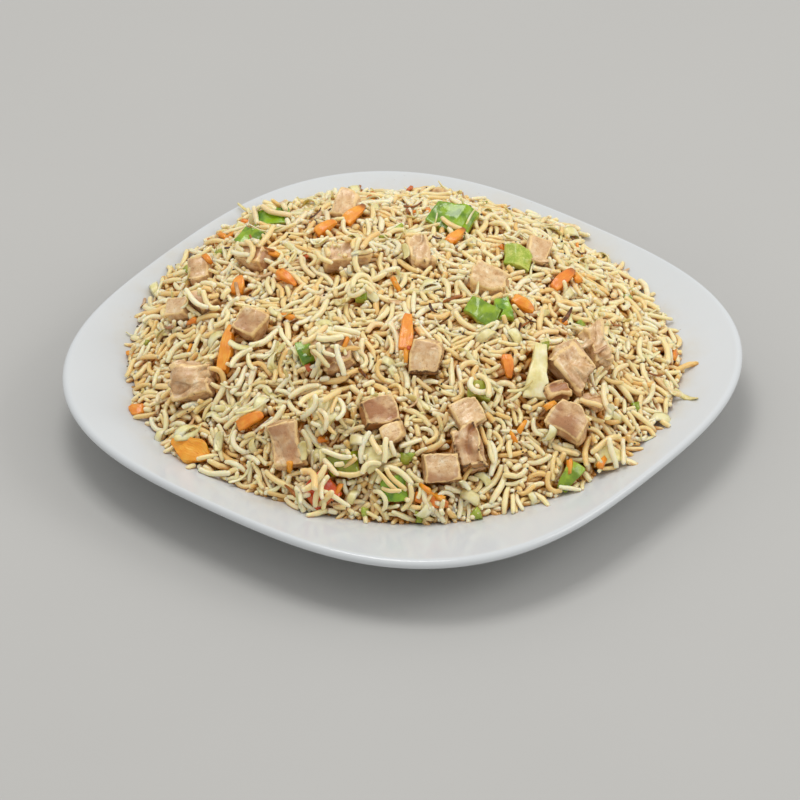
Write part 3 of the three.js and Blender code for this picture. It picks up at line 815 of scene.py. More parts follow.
# %% The meat's finish
def chicken_finish():
    """Pale meat with strands, browned and charred where the pan touched it, and with painted shade on its
    sides, undersides and grooves.
    """
    material, tree, place = new_finish("chicken_meat")
    fibre = tree.attribute("fibre", "Vector")
    stretched = tree.vector("MULTIPLY", fibre, (0.22, 1.0, 1.0))
    strands = tree.noise(stretched, 0.9, 3.0, 0.6)
    fine = tree.noise(stretched, 4.5, 2.0)
    blotch = tree.noise(place, 340.0, 4.0, 0.65)
    speck = tree.noise(place, 1300.0, 2.0)
    sear = tree.attribute("sear")
    edge = tree.attribute("edge")
    # The dip term is painted shade: it darkens the grooves and splits a little.
    flesh = tree.ramp(strands * 0.2 + blotch * 0.8 - tree.attribute("dip") * 0.1, [
        (0.3, colour(212, 168, 114)),
        (0.42, colour(230, 193, 142)),
        (0.52, colour(242, 214, 168)),
        (0.64, colour(252, 239, 208)),
    ])
    patch = tree.step(tree.noise(place, 120.0, 2.0), 0.4, 0.6)
    # The tone is partly painted shade on the pieces that are set dark for lying in shade.
    toned = tree.mix(tree.attribute("tone") * (1.15 - patch * 0.85), flesh, colour(174, 118, 74))
    speckled = tree.mix(tree.step(speck, 0.6, 0.72) * 0.5, toned, colour(150, 96, 44))
    rim = tree.mix(tree.step(edge + blotch * 1.6, 1.15, 1.7) * 0.7, speckled, colour(248, 214, 146))
    # Browning and charring follow the sear mask, so they carry its painted shade on the sides and
    # undersides too.
    heat_and_shade = sear + (blotch - 0.5) * 0.9
    browned = tree.mix(tree.step(heat_and_shade, 0.25, 0.65) * 0.7, rim, colour(164, 104, 46))
    burnt_edge = edge * 0.5 + heat_and_shade * 0.7 + (speck - 0.5) * 0.4
    charred = tree.mix(tree.step(burnt_edge, 0.74, 0.9) * 0.85, browned, colour(76, 38, 16))
    rough = 0.38 - tree.step(blotch, 0.45, 0.65) * 0.14
    relief = tree.bump(strands * 0.3 + fine * 0.3 + speck * 0.4, 0.3 * MM)
    tree.surface(Base_Color=charred, Roughness=rough, Normal=relief, Subsurface_Weight=0.06,
                 Subsurface_Radius=(1.0, 0.7, 0.4), Subsurface_Scale=LIGHT_DEPTH, Coat_Weight=0.4,
                 Coat_Roughness=0.12)
    return material


chicken_material = chicken_finish()
chicken_parts = dress("chicken", "chicken_dice", chicken_material, chicken_part, first_seed=0)

# %% [markdown]
# ## Carrot
#
# The carrot is cut in short sticks and one slantwise slice. Cooked carrot is moist, with faint
# lengthwise threads, a paler core and here and there a scorched tip. The sticks only need a little
# waviness and softened edges, so the noise is low and long.

# %% Carrot sticks and the slice
VEGETABLE_VOXEL = 0.34
SCORCHED = {4: 0.3, 5: 0.7, 9: 0.9, 11: 0.5}  # carrot sticks with burnt tips


def carrot_part(node, seed):
    """A carrot stick or slice, a little wavy, with its scorched tip."""
    part = remeshed(node, VEGETABLE_VOXEL)
    rng = np.random.default_rng(SEED + seed)
    is_slice = "slice" in node
    own = part.own()
    wave = noise_at(own / [5, 2.2, 2.2], seed)
    thread = noise_at(own / [6, 0.8, 0.8], seed + 1)
    part.raise_by(0.16 * wave + 0.05 * thread)
    part.warp(5.0, 1.1 if is_slice else 0.6, seed + 5)
    reach = own[:, 0] / np.abs(own[:, 0]).max()
    scorch = 0.0 if is_slice else SCORCHED.get(number_of(node), 0.0)
    part.kept["fibre"] = own
    part.kept["scorch"] = scorch * soft_step(reach + 0.2 * wave, 0.45, 0.95)
    part.kept["tone"] = np.full(len(own), 0.95 if is_slice else rng.uniform(0, 0.8))
    return part


def carrot_finish():
    """Moist orange with lengthwise threads, from deep to pale."""
    material, tree, place = new_finish("cooked_carrot")
    fibre = tree.attribute("fibre", "Vector")
    threads = tree.noise(tree.vector("MULTIPLY", fibre, (0.2, 1.0, 1.0)), 1.6, 3.0, 0.6)
    blotch = tree.noise(place, 330.0, 2.0)
    deep = tree.ramp(threads * 0.6 + blotch * 0.4, [
        (0.3, colour(216, 106, 12)),
        (0.5, colour(236, 134, 28)),
        (0.72, colour(248, 170, 62)),
    ])
    pale = tree.ramp(threads * 0.5 + blotch * 0.5, [
        (0.3, colour(236, 136, 14)),
        (0.5, colour(246, 166, 36)),
        (0.72, colour(250, 196, 78)),
    ])
    flesh = tree.mix(tree.attribute("tone"), deep, pale)
    burnt = tree.mix(tree.attribute("scorch"), flesh, colour(70, 32, 20))
    relief = tree.bump(threads, 0.3 * MM)
    rough = 0.26 + blotch * 0.2
    tree.surface(Base_Color=burnt, Roughness=rough, Normal=relief, Subsurface_Weight=0.1,
                 Subsurface_Radius=(1.0, 0.4, 0.1), Subsurface_Scale=LIGHT_DEPTH, Coat_Weight=0.35,
                 Coat_Roughness=0.1)
    return material


carrot_material = carrot_finish()
carrot_parts = dress("carrot", "carrot_pieces", carrot_material, carrot_part, first_seed=500)

# %% [markdown]
# ## Peppers
#
# A square of pepper has a thin, shiny, deep green skin on its outer side, and thick, pale, watery
# flesh on the other. Its cut edges show both as a line. The side is found from the direction in
# which the surface faces, and it is kept on the mesh, so one finish serves skin and flesh.

# %% Pepper squares
FLESH_UP = {8, 9}  # green pieces that lie with their flesh upwards
OLIVE = {4: 0.5, 6: 0.35, 9: 0.8, 10: 0.9, 12: 0.4}  # how far a green piece has turned olive


def pepper_part(node, seed):
    """A square of pepper, dimpled, and which of its sides is the skin."""
    part = remeshed(node, VEGETABLE_VOXEL)
    rng = np.random.default_rng(SEED + seed)
    own = part.own()
    side = -1 if number_of(node) in FLESH_UP else 1
    facing = side * (part.normals() @ part.axes[2])
    wave = noise_at(own / 3.0, seed)
    dimple = noise_at(own / 1.1, seed + 1)
    part.raise_by(0.2 * wave + 0.05 * dimple)
    part.warp(5.0, 0.8, seed + 5)
    part.kept["skin"] = soft_step(facing + 0.1 * wave, 0.25, 0.6)
    part.kept["fibre"] = own
    part.kept["tone"] = np.full(len(own), OLIVE.get(number_of(node), rng.uniform(0, 0.3)))
    return part


def pepper_finish(name, skin_colours, flesh_colours, aged):
    """skin_colours and flesh_colours are (darker, lighter); aged is what an old piece turns to."""
    material, tree, place = new_finish(name)
    blotch = tree.noise(place, 240.0, 3.0, 0.55)
    cells = tree.noise(place, 1500.0, 2.0)
    skin = tree.mix(tree.step(blotch, 0.35, 0.65), *skin_colours)
    flesh = tree.mix(tree.step(blotch * 0.6 + cells * 0.4, 0.38, 0.62), *flesh_colours)
    side = tree.attribute("skin")
    both = tree.mix(side, flesh, skin)
    turned = tree.mix(tree.attribute("tone") * 0.8, both, aged)
    relief = tree.bump(cells * 0.4 + blotch * 0.6, 0.25 * MM)
    rough = 0.4 - side * 0.2 + cells * 0.08
    tree.surface(Base_Color=turned, Roughness=rough, Normal=relief, Subsurface_Weight=0.12,
                 Subsurface_Radius=(0.5, 0.8, 0.15), Subsurface_Scale=LIGHT_DEPTH, Coat_Weight=0.4,
                 Coat_Roughness=0.08)
    return material


green_material = pepper_finish(
    "green_pepper",
    (colour(78, 132, 8), colour(146, 188, 28)),
    (colour(150, 178, 40), colour(206, 214, 104)),
    colour(150, 146, 24),
)
red_material = pepper_finish(
    "red_pepper",
    (colour(200, 66, 8), colour(230, 108, 30)),
    (colour(226, 110, 52), colour(240, 152, 92)),
    colour(188, 84, 30),
)
green_parts = dress("green_pepper", "green_pepper_pieces", green_material, pepper_part, first_seed=900)
red_parts = dress("red_pepper", "red_pepper_piece", red_material, pepper_part, first_seed=1200)

# %% [markdown]
# ## Onion and cabbage
#
# Fried onion and cabbage turn glassy and pale yellow, with fine veins along the leaf. Light goes
# into them and comes out nearby, which the shader's subsurface setting stands for. Real glass would
# show the rice behind them, but these layers are too cloudy for that.

# %% Onion pieces
ONION_BULGE = 1.0  # how far the middle of a layer rises, in millimetres
ONION_TAPER = 0.16  # how much narrower a layer is at one end, and wider at the other


def onion_part(node, seed):
    """A layer of onion or leaf, bulged, wavy and narrower at one end."""
    part = remeshed(node, VEGETABLE_VOXEL)
    own = part.own()
    wave = noise_at(own / [4, 2.5, 2.5], seed)
    vein = noise_at(own / [7, 0.9, 0.9], seed + 1)
    part.raise_by(0.3 * wave + 0.03 * vein)
    width = own[:, 1] / np.abs(own[:, 1]).max()
    length = own[:, 0] / np.abs(own[:, 0]).max()
    top = soft_step(part.normals() @ part.axes[2], -0.4, 0.6)
    bulge = ONION_BULGE * top * (1 - width**2) * (1 - length**4)
    inward = ONION_TAPER * length * own[:, 1]
    part.points = part.points + bulge[:, None] * part.axes[2] - inward[:, None] * part.axes[1]
    part.warp(5.5, 1.0, seed + 5)
    part.kept["fibre"] = own
    part.kept["tone"] = np.full(len(own), np.random.default_rng(SEED + seed).uniform(0, 0.6))
    return part


def onion_finish():
    """Glassy pale yellow with fine veins."""
    material, tree, place = new_finish("onion_and_cabbage")
    fibre = tree.attribute("fibre", "Vector")
    veins = tree.noise(tree.vector("MULTIPLY", fibre, (0.12, 1.0, 1.0)), 1.3, 2.0)
    blotch = tree.noise(place, 210.0, 3.0, 0.55)
    leaf = tree.ramp(veins * 0.12 + blotch * 0.88, [
        (0.34, colour(222, 208, 134)),
        (0.48, colour(238, 230, 168)),
        (0.64, colour(250, 246, 210)),
    ])
    fried = tree.mix(tree.attribute("tone") * 0.3, leaf, colour(206, 164, 90))
    relief = tree.bump(veins, 0.12 * MM)
    tree.surface(Base_Color=fried, Roughness=0.24 + blotch * 0.16, Normal=relief,
                 Subsurface_Weight=0.3, Subsurface_Radius=(1.0, 0.8, 0.4),
                 Subsurface_Scale=LIGHT_DEPTH, Coat_Weight=0.25, Coat_Roughness=0.15)
    return material


onion_material = onion_finish()
onion_parts = dress("onion", "onion_pieces", onion_material, onion_part, first_seed=1400)

# %% [markdown]
# ## A bed to lay things on
#
# To lay a grain on a heap, all that matters is how far the heap reaches under it. Seen from straight
# above, the steep sides of the mound would fill badly. So everything is measured from a point deep
# below the table, the heart: a map keeps how far away the surface is in each direction. Each new
# grain comes to rest on the map and then raises it. A physics engine would also work, but thousands
# of curved grains that touch each other everywhere would take it hours.

# %% The map of distances from the heart
HEART = np.array([0.0, 5.0, -45.0])
MAP_SCALE = 105.0  # how many millimetres of the map stand for one radian
MAP_HALF = 122.0
CELL = 0.5
NEAREST = 40.0  # every surface is farther from the heart than this
FARTHEST = 190.0
HALVINGS = 20
map_line = np.arange(-MAP_HALF, MAP_HALF + CELL / 2, CELL)
map_u, map_v = np.meshgrid(map_line, map_line, indexing="ij")


def on_map(cells):
    """Rows or columns, held within the map."""
    return np.clip(cells, 0, len(map_line) - 1)


def cell_of(values):
    """The map's row or column for places in millimetres."""
    return on_map(((values + MAP_HALF) / CELL + 0.5).astype(int))


def direction_at(u, v):
    """The direction out of the heart that a place on the map stands for."""
    lean = np.hypot(u, v) / MAP_SCALE
    spread = np.sinc(lean / math.pi) / MAP_SCALE
    return np.stack([u * spread, v * spread, np.cos(lean)], axis=-1)


def seen_from_heart(points):
    """Where points lie on the map, and how far from the heart they are."""
    reach = points - HEART
    far = np.sqrt((reach**2).sum(axis=-1))
    level = np.hypot(reach[..., 0], reach[..., 1])
    stretch = MAP_SCALE * np.arctan2(level, reach[..., 2]) / np.maximum(level, 1e-6)
    return reach[..., 0] * stretch, reach[..., 1] * stretch, far


def distance_map(height_at):
    """How far from the heart a surface is in each direction, and where it is met."""
    ways = direction_at(map_u, map_v)
    near = np.full(map_u.shape, NEAREST)
    far = np.full(map_u.shape, FARTHEST)
    for _ in range(HALVINGS):
        middle = (near + far) / 2
        spot = HEART + ways * middle[..., None]
        inside = spot[..., 2] < height_at(spot[..., 0], spot[..., 1])
        near = np.where(inside, middle, near)
        far = np.where(inside, far, middle)
    return middle, spot


form, form_spots = distance_map(heap_height)
plate_map, _ = distance_map(plate_top)
on_heap = heap_share(form_spots[..., 0], form_spots[..., 1]) < 1
print("the mound is", round(float((form - plate_map)[on_heap].max())), "mm thick as seen from the heart")

# %% [markdown]
# ## The core of the mound
#
# Between the grains that lie on top, the eye sees deeper ones in warm shade. Below a few layers
# nobody can see single grains any more, so a core takes their place. It has the mound's form, a few
# millimetres lower, with grain-sized ridges as its relief.

# %% Ridges on the core and its mesh
CORE_DEPTH = 6.2  # how far the core lies below the mound's form, measured square to it
RIDGES = 5200
RIDGE_LENGTH = 11.0
RIDGE_WIDTH = 2.5
RIDGE_LEVEL = 2.2
RIDGE_RISE = 1.4  # how much higher than others a ridge may lie
RIDGE_FIELD = 110.0
CORE_RINGS = 70
CORE_SIDES = 320
CORE_GAP = 0.1  # between the core's floor and the plate
plan_x, plan_y = np.meshgrid(map_line, map_line, indexing="ij")  # seen from straight above
plan_form = heap_height(plan_x, plan_y)
plan_plate = plate_top(plan_x, plan_y)
slope = np.hypot(*np.gradient(plan_form, CELL))
plan_depth = CORE_DEPTH * np.sqrt(1 + slope**2)


def ridge_map(count, seed):
    """Low ridges the size of grains, each lying its own way, as heights seen from above."""
    rng = np.random.default_rng(seed)
    heights = np.zeros_like(plan_form)
    window = int(RIDGE_LENGTH / 2 / CELL) + 1
    span = np.arange(-window, window + 1) * CELL
    near_x, near_y = np.meshgrid(span, span, indexing="ij")
    for _ in range(count):
        x, y = rng.uniform(-RIDGE_FIELD, RIDGE_FIELD, 2)
        lie = rng.uniform(0, math.pi)
        along = (near_x * math.cos(lie) + near_y * math.sin(lie)) / (RIDGE_LENGTH / 2)
        across = (near_y * math.cos(lie) - near_x * math.sin(lie)) / (RIDGE_WIDTH / 2)
        inside = np.clip(1 - along**4 - across**2, 0, None)
        bump = np.sqrt(inside) * RIDGE_WIDTH / 2 + rng.uniform(0, RIDGE_RISE) * (inside > 0)
        i, j = cell_of(np.array([x, y]))
        rows = slice(i - window, i + window + 1)
        columns = slice(j - window, j + window + 1)
        heights[rows, columns] = np.maximum(heights[rows, columns], bump)
    return heights


plan_core = np.maximum(plan_form - plan_depth + ridge_map(RIDGES, SEED) - RIDGE_LEVEL, plan_plate)


def read_plan(heights, x, y):
    """What a map seen from above holds at each place."""
    return heights[cell_of(x), cell_of(y)]


def core_edge(angles):
    """How far out the core reaches: to where the mound is no thicker than the layers on it."""
    shares = np.linspace(0.5, 1, 101)[:, None]
    far = shares * heap_edge(angles)[None, :]
    x = far * np.cos(angles)
    y = far * np.sin(angles)
    thick = heap_height(x, y) - plate_top(x, y) > read_plan(plan_depth, x, y)
    return (far * thick).max(axis=0)


def core_mesh(material):
    """The core as a closed shell: its top, and a floor just above the plate."""
    angles = np.linspace(0, 2 * math.pi, CORE_SIDES, endpoint=False)
    rings = (np.arange(1, CORE_RINGS + 1) / CORE_RINGS)[:, None]
    reach = rings * core_edge(angles)[None, :]
    x = (reach * np.cos(angles)).ravel()
    y = (reach * np.sin(angles)).ravel()
    top = np.stack([x, y, read_plan(plan_core, x, y)], axis=1)
    floor = np.stack([x, y, plate_top(x, y) + CORE_GAP], axis=1)
    top[:, 2] = np.maximum(top[:, 2], floor[:, 2] + CORE_GAP)
    summit = read_plan(plan_core, np.zeros(1), np.zeros(1))[0]
    middle = [[0, 0, summit], [0, 0, FLOOR_HEIGHT + CORE_GAP]]
    count = len(x)
    index = np.arange(count).reshape(CORE_RINGS, CORE_SIDES)
    turned = np.roll(index, -1, axis=1)
    quads = np.stack([index[:-1], index[1:], turned[1:], turned[:-1]], axis=-1).reshape(-1, 4)
    under = quads[:, ::-1] + count
    wall = np.stack([index[-1], index[-1] + count, turned[-1] + count, turned[-1]], axis=-1)
    cap = np.stack([np.full(CORE_SIDES, 2 * count), index[0], turned[0]], axis=-1)
    base = np.stack([np.full(CORE_SIDES, 2 * count + 1), turned[0] + count, index[0] + count], axis=-1)
    mesh = bpy.data.meshes.new("rice_core")
    faces = [*quads.tolist(), *under.tolist(), *wall.tolist(), *cap.tolist(), *base.tolist()]
    mesh.from_pydata((np.concatenate([top, floor, middle]) * MM).tolist(), [], faces)
    mesh.materials.append(material)
    return mesh


# %% The core's finish
def core_finish():
    """Rice in deep shade, wet with oil and soy sauce."""
    material, tree, place = new_finish("rice_core")
    blotch = tree.noise(place, 170.0, 4.0, 0.6)
    fine = tree.noise(place, 900.0, 3.0)
    shade = tree.ramp(blotch * 0.6 + fine * 0.4, [
        (0.32, colour(190, 120, 20)),
        (0.5, colour(216, 148, 36)),
        (0.68, colour(236, 182, 70)),
    ])
    tree.surface(Base_Color=shade, Roughness=0.42 + fine * 0.2, Normal=tree.bump(fine, 0.4 * MM))
    return material


rice_core = core_mesh(core_finish())
print("the core has", len(rice_core.polygons), "faces")

# %% [markdown]
# ## Shapes of grains
#
# Cooked long-grain rice is a soft little rod. Some grains stay straight, most are bowed, some are
# hooked or curled right round, and many have broken. A few shapes of each kind are made, as tubes
# along a bent line with rounded ends. They have few sides, because thousands of copies are laid.

# %% Bent lines and tubes along them
GRAIN_SIDES = 6
LINE_POINTS = 25
TUBE_ENDS = ((0.012, 0.64), (0.06, 0.95))  # (share of the length, share of the radius)
TUBE_MIDDLE = (0.14, 0.86)  # between these shares of the length a tube has its full radius
TAPER_POWER = 2.5
LOOK_AHEAD = 0.05  # the share of a line over which its direction is measured


def bent_line(rng, length, turning, bend_spread):
    """A line of this length that turns by so many degrees, mostly around one place."""
    share = np.linspace(0, 1, LINE_POINTS)
    where = rng.uniform(0.25, 0.75)
    weight = np.exp(-(((share - where) / bend_spread) ** 2))
    heading = np.cumsum(weight / weight.sum()) * math.radians(turning)
    heading = heading + 0.12 * np.sin(share * rng.uniform(4, 9) + rng.uniform(0, 6))
    rising = math.radians(rng.uniform(-14, 14)) * np.sin(share * math.pi * rng.uniform(0.6, 1.6))
    step = length / (LINE_POINTS - 1)
    moves = np.stack([np.cos(heading) * np.cos(rising), np.sin(heading) * np.cos(rising), np.sin(rising)])
    line = np.cumsum(moves.T * step, axis=0)
    line -= line.mean(axis=0)
    _, _, turn = np.linalg.svd(line, full_matrices=False)
    return line @ turn.T


def point_along(line, share):
    """The place at a share of a line's length."""
    shares = np.linspace(0, 1, len(line))
    return np.array([np.interp(share, shares, line[:, k]) for k in range(3)])


def across_line(line, share, twist):
    """Two directions square to a line at a share of its length, turned about it by the twist."""
    ahead = point_along(line, min(share + LOOK_AHEAD, 1))
    behind = point_along(line, max(share - LOOK_AHEAD, 0))
    heading = (ahead - behind) / np.linalg.norm(ahead - behind)
    side = np.cross([0, 0, 1], heading)
    side /= np.linalg.norm(side)
    up = np.cross(heading, side)
    cosine, sine = math.cos(twist), math.sin(twist)
    return side * cosine + up * sine, up * cosine - side * sine


def tube_mesh(name, line, radius, rings, flatness, blunt, taper, twist=0.0):
    """A closed tube along a line, with rounded or blunt ends and a slightly uneven surface."""
    ends = [(a, 1 - (1 - b) * blunt) for a, b in TUBE_ENDS]
    between = np.linspace(0, 1, rings)[1:-1]
    middle = [(share, 1.0) for share in between if TUBE_MIDDLE[0] < share < TUBE_MIDDLE[1]]
    marks = ends + middle + [(1 - a, b) for a, b in reversed(ends)]
    points = [line[0]]
    along = [0.0]
    for share, width in marks:
        centre = point_along(line, share)
        side, up = across_line(line, share, twist * (share - 0.5))
        slim = 1 - taper * abs(2 * share - 1) ** TAPER_POWER
        swell = width * slim * (1 + 0.05 * math.sin(share * 23 + radius * 40))
        for k in range(GRAIN_SIDES):
            angle = 2 * math.pi * k / GRAIN_SIDES
            offset = side * math.cos(angle) + up * math.sin(angle) * flatness
            points.append(centre + offset * radius * swell)
            along.append(share)
    points.append(line[-1])
    along.append(1.0)
    mesh = bpy.data.meshes.new(name)
    mesh.from_pydata((np.array(points) * MM).tolist(), [], tube_faces(len(marks), GRAIN_SIDES))
    keep_number(mesh, "along", along)
    mesh.shade_smooth()
    return mesh


def tube_faces(rings, sides):
    """The faces of a tube of rings with a point at each end."""
    last = 1 + rings * sides
    faces = []
    for k in range(sides):
        n = (k + 1) % sides
        faces.append((0, 1 + n, 1 + k))
        for ring in range(rings - 1):
            a = 1 + ring * sides
            faces.append((a + k, a + n, a + sides + n, a + sides + k))
        a = 1 + (rings - 1) * sides
        faces.append((a + k, a + n, last))
    return faces


# %% The kinds of grain
GRAIN_KINDS = {  # how many are tried, lengths in millimetres, and bends and rolls in degrees
    "straight_grains": dict(count=1700, length=(7.5, 13), turning=(0, 18), spread=0.9, rings=6, roll=90),
    "bowed_grains": dict(count=3200, length=(8.5, 14.5), turning=(24, 80), spread=0.6, rings=7, roll=60),
    "hooked_grains": dict(count=1100, length=(8, 13.5), turning=(70, 125), spread=0.3, rings=8, roll=40),
    "curled_grains": dict(count=200, length=(11, 15), turning=(140, 210), spread=0.7, rings=11, roll=40),
    "broken_grains": dict(count=1000, length=(3.4, 7), turning=(0, 40), spread=0.8, rings=5, roll=180),
    "deep_grains": dict(count=0, length=(7, 12), turning=(5, 70), spread=0.6, rings=4, roll=80),
}  # the deep grains have a step of their own, which says how many there are
SHAPES_PER_KIND = 8
GRAIN_RADIUS = (0.95, 1.26)
FELT_RADIUS = 0.94  # a grain touches others at this part of its radius
FELT_AT_ENDS = 0.8  # and its tips do at this part of that
KIND_SEED_STEP = 100


class Shape:
    """Something that can be laid: its mesh, the points that touch the bed, and their radius."""

    def __init__(self, mesh, probe, reach):
        self.mesh = mesh
        self.probe = probe
        self.reach = reach


def grain_shapes(kind, facts, seed):
    """A few grains of one kind, no two alike."""
    shapes = []
    for i in range(SHAPES_PER_KIND):
        rng = np.random.default_rng(seed + i)
        length = rng.uniform(*facts["length"])
        line = bent_line(rng, length, rng.uniform(*facts["turning"]), facts["spread"])
        radius = rng.uniform(*GRAIN_RADIUS)
        blunt = rng.uniform(0.45, 1.0)
        taper = rng.uniform(0.0, 0.35)
        flatness = rng.uniform(0.84, 1.0)
        mesh = tube_mesh(f"{kind}_{i}", line, radius, facts["rings"], flatness, blunt, taper)
        inner = line[1:-1]
        slim = 1 - taper * np.abs(np.linspace(-1, 1, len(inner))) ** TAPER_POWER
        slim[[0, -1]] *= FELT_AT_ENDS
        shapes.append(Shape(mesh, inner, radius * FELT_RADIUS * slim))
    return shapes


grain_families = {
    kind: grain_shapes(kind, facts, SEED + KIND_SEED_STEP * i)
    for i, (kind, facts) in enumerate(GRAIN_KINDS.items())
}
print(sum(len(family) for family in grain_families.values()), "shapes of grain")

# %% [markdown]
# ## Shapes of the small bits
#
# Things smaller than a berry are strewn through the rice: cut ends of carrot and pepper, ribbons of
# cabbage and onion, brown fried strips, threads of chicken and cracked black pepper. Each kind needs
# only a few shapes: a small rounded block, or a flat ribbon that curls, made as a grain is.

# %% Blocks and ribbons
SHAPES_PER_BIT = 6
TWIST = 1.6  # how far a ribbon turns about itself, in radians
RIBBON_HALF = 0.3  # half of a ribbon's thickness
RIBBON_RINGS = 9
RIBBON_REACH = 0.4  # the radius with which a ribbon touches the heap
BIT_SEED = 900


def nugget(name, size, rng):
    """A small rounded block of about this size, with uneven sides."""
    block = bmesh.new()
    bmesh.ops.create_cube(block, size=2)
    bmesh.ops.subdivide_edges(block, edges=block.edges, cuts=1, use_grid_fill=True)
    corners = np.array([vertex.co for vertex in block.verts])
    rounding = (np.abs(corners) ** 8).sum(axis=1, keepdims=True) ** 0.125
    size = np.array(size) * rng.uniform(0.8, 1.2, 3)
    points = corners / rounding * rng.uniform(0.75, 1.15, (len(corners), 3)) * size / 2
    wedge = 1 - rng.uniform(0.1, 0.6) * points[:, :1] / np.abs(points[:, 0]).max()
    points[:, 1:] = points[:, 1:] * wedge
    for vertex, place in zip(block.verts, points):
        vertex.co = place * MM
    mesh = bpy.data.meshes.new(name)
    block.to_mesh(mesh)
    block.free()
    keep_vector(mesh, "fibre", points)
    radius = size.min() * 0.45
    inner = np.clip(size / 2 - radius, 0, None)
    probe = np.array([(a, b, 0) for a in (-1, 0, 1) for b in (-1, 0, 1)]) * inner
    return Shape(mesh, probe, np.full(9, radius))


def ribbon(name, length, width, turning, rng):
    """A flat strip that curls up and down and tapers to its ends."""
    length = length * rng.uniform(0.7, 1.3)
    line = bent_line(rng, length, turning * rng.uniform(0.3, 1.3), 0.7)[:, [0, 2, 1]]
    radius = width / 2 * rng.uniform(0.7, 1.3)
    flatness = min(RIBBON_HALF / radius, 0.8)
    taper = rng.uniform(0.0, 0.4)
    twist = rng.uniform(-TWIST, TWIST)
    mesh = tube_mesh(name, line, radius, RIBBON_RINGS, flatness, 0.8, taper, twist)
    keep_vector(mesh, "fibre", points_of(mesh))
    return Shape(mesh, line[1:-1], np.full(len(line) - 2, RIBBON_REACH))


def bit_shapes(name, facts, seed):
    """A few ribbons of one kind where it curls, or else a few blocks."""
    rng = np.random.default_rng(seed)
    if "turning" in facts:
        return [ribbon(f"{name}_{i}", *facts["size"], facts["turning"], rng) for i in range(SHAPES_PER_BIT)]
    return [nugget(f"{name}_{i}", facts["size"], rng) for i in range(SHAPES_PER_BIT)]


BIT_KINDS = {
    "carrot_crumbs": dict(size=(5.2, 2.2, 1.5)),
    "green_crumbs": dict(size=(3.6, 2.8, 1.3)),
    "red_crumbs": dict(size=(3.0, 2.4, 1.2)),
    "leaf_ribbons": dict(size=(9.0, 3.2), turning=140),
    "onion_threads": dict(size=(11.0, 1.3), turning=90),
    "fried_strips": dict(size=(7.0, 1.1), turning=70),
    "chicken_threads": dict(size=(7.0, 1.8), turning=40),
    "pepper_specks": dict(size=(0.7, 0.6, 0.5)),
}
bit_families = {
    name: bit_shapes(name, facts, SEED + BIT_SEED + SEED_STEP * i)
    for i, (name, facts) in enumerate(BIT_KINDS.items())
}
print(sum(len(family) for family in bit_families.values()), "shapes of small bits")

# %% [markdown]
# ## How a grain comes to rest
#
# A grain that is let go tips until its middle is as low as it can be. So for each grain a range of
# tilts is tried, the height at which it would touch the bed is found for each, and the lowest one
# is kept. Others are stood up steeply, because spooned rice holds grains at every angle. Cooked
# grains are soft, so a few of a grain's points may sink into what is under it.

# %% Resting on the bed and raising it
TILTS = np.linspace(-1.0, 1.0, 21)
FINE_TILTS = np.linspace(-0.08, 0.08, 5)
SETTLE = 0.45  # how far soft grains sink into each other, in millimetres
SOFT_POINTS = 5  # one more than the number of a grain's 23 points that may sink in further
BESIDE = 0.55  # the part of a grain's radius at which its flanks are felt for
slope_u, slope_v = np.gradient(form, CELL)
bed = plate_map.copy()


def turn_matrix(roll, pitch, yaw):
    """The turn that Blender makes of the angles (roll, pitch, yaw)."""
    cr, sr = math.cos(roll), math.sin(roll)
    cp, sp = math.cos(pitch), math.sin(pitch)
    cy, sy = math.cos(yaw), math.sin(yaw)
    return np.array([
        [cy * cp, cy * sp * sr - sy * cr, cy * sp * cr + sy * sr],
        [sy * cp, sy * sp * sr + cy * cr, sy * sp * cr - cy * sr],
        [-sp, cp * sr, cp * cr],
    ])


def ways_at(u, v):
    """Three directions at a place on the map, as columns: two along the heap, one out of it."""
    out = direction_at(u, v)
    first = np.array([out[2], 0.0, -out[0]]) / math.hypot(out[2], out[0])
    return np.stack([first, np.cross(out, first), out], axis=1)


def lift_needed(places, reach, ways, yaw):
    """How far out each touching point has to move to clear the bed."""
    side = ways @ [-math.sin(yaw), math.cos(yaw), 0] * BESIDE * reach[:, None]
    u, v, far = seen_from_heart(np.concatenate([places, places + side, places - side]))
    gap = (bed[cell_of(u), cell_of(v)] - far).reshape(3, -1)
    flank = math.sqrt(1 - BESIDE**2) * reach
    return np.maximum(gap[0] + reach, np.maximum(gap[1], gap[2]) + flank)


def rest(shape, scale, spot, yaw, roll, pitch=None, sink=SETTLE, soft=SOFT_POINTS):
    """Lays a shape at a place of the map: its turn, place, points, and how far out of the form it is."""
    ways = ways_at(*spot)
    base = HEART + ways[:, 2] * form[tuple(cell_of(np.array(spot)))]
    probe = shape.probe * scale
    reach = shape.reach * scale
    if pitch is None:
        pitch = own_pitch(ways, base, probe, reach, yaw, roll)
    turn = ways @ turn_matrix(roll, pitch, yaw)
    places = base + probe @ turn.T
    lift = np.sort(lift_needed(places, reach, ways, yaw))[-soft] - sink
    out = ways[:, 2] * lift
    return turn, base + out, places + out, reach, lift


def own_pitch(ways, base, probe, reach, yaw, roll):
    """The pitch at which the middle of a shape lies lowest."""
    flat = probe @ turn_matrix(roll, 0, 0).T
    need = lift_needed(base + flat @ (ways @ turn_matrix(0, 0, yaw)).T, reach, ways, yaw)
    coarse = (need - TILTS[:, None] * flat[:, 0]).max(axis=1)
    near = TILTS[coarse.argmin()] + FINE_TILTS
    fine = (need - near[:, None] * flat[:, 0]).max(axis=1)
    return -math.atan(near[fine.argmin()])


DISC_CELLS = 3  # a grain's radius covers at most this many cells
disc_rows, disc_columns = np.indices((2 * DISC_CELLS + 1,) * 2).reshape(2, -1) - DISC_CELLS
disc_far = np.hypot(disc_rows, disc_columns) * CELL


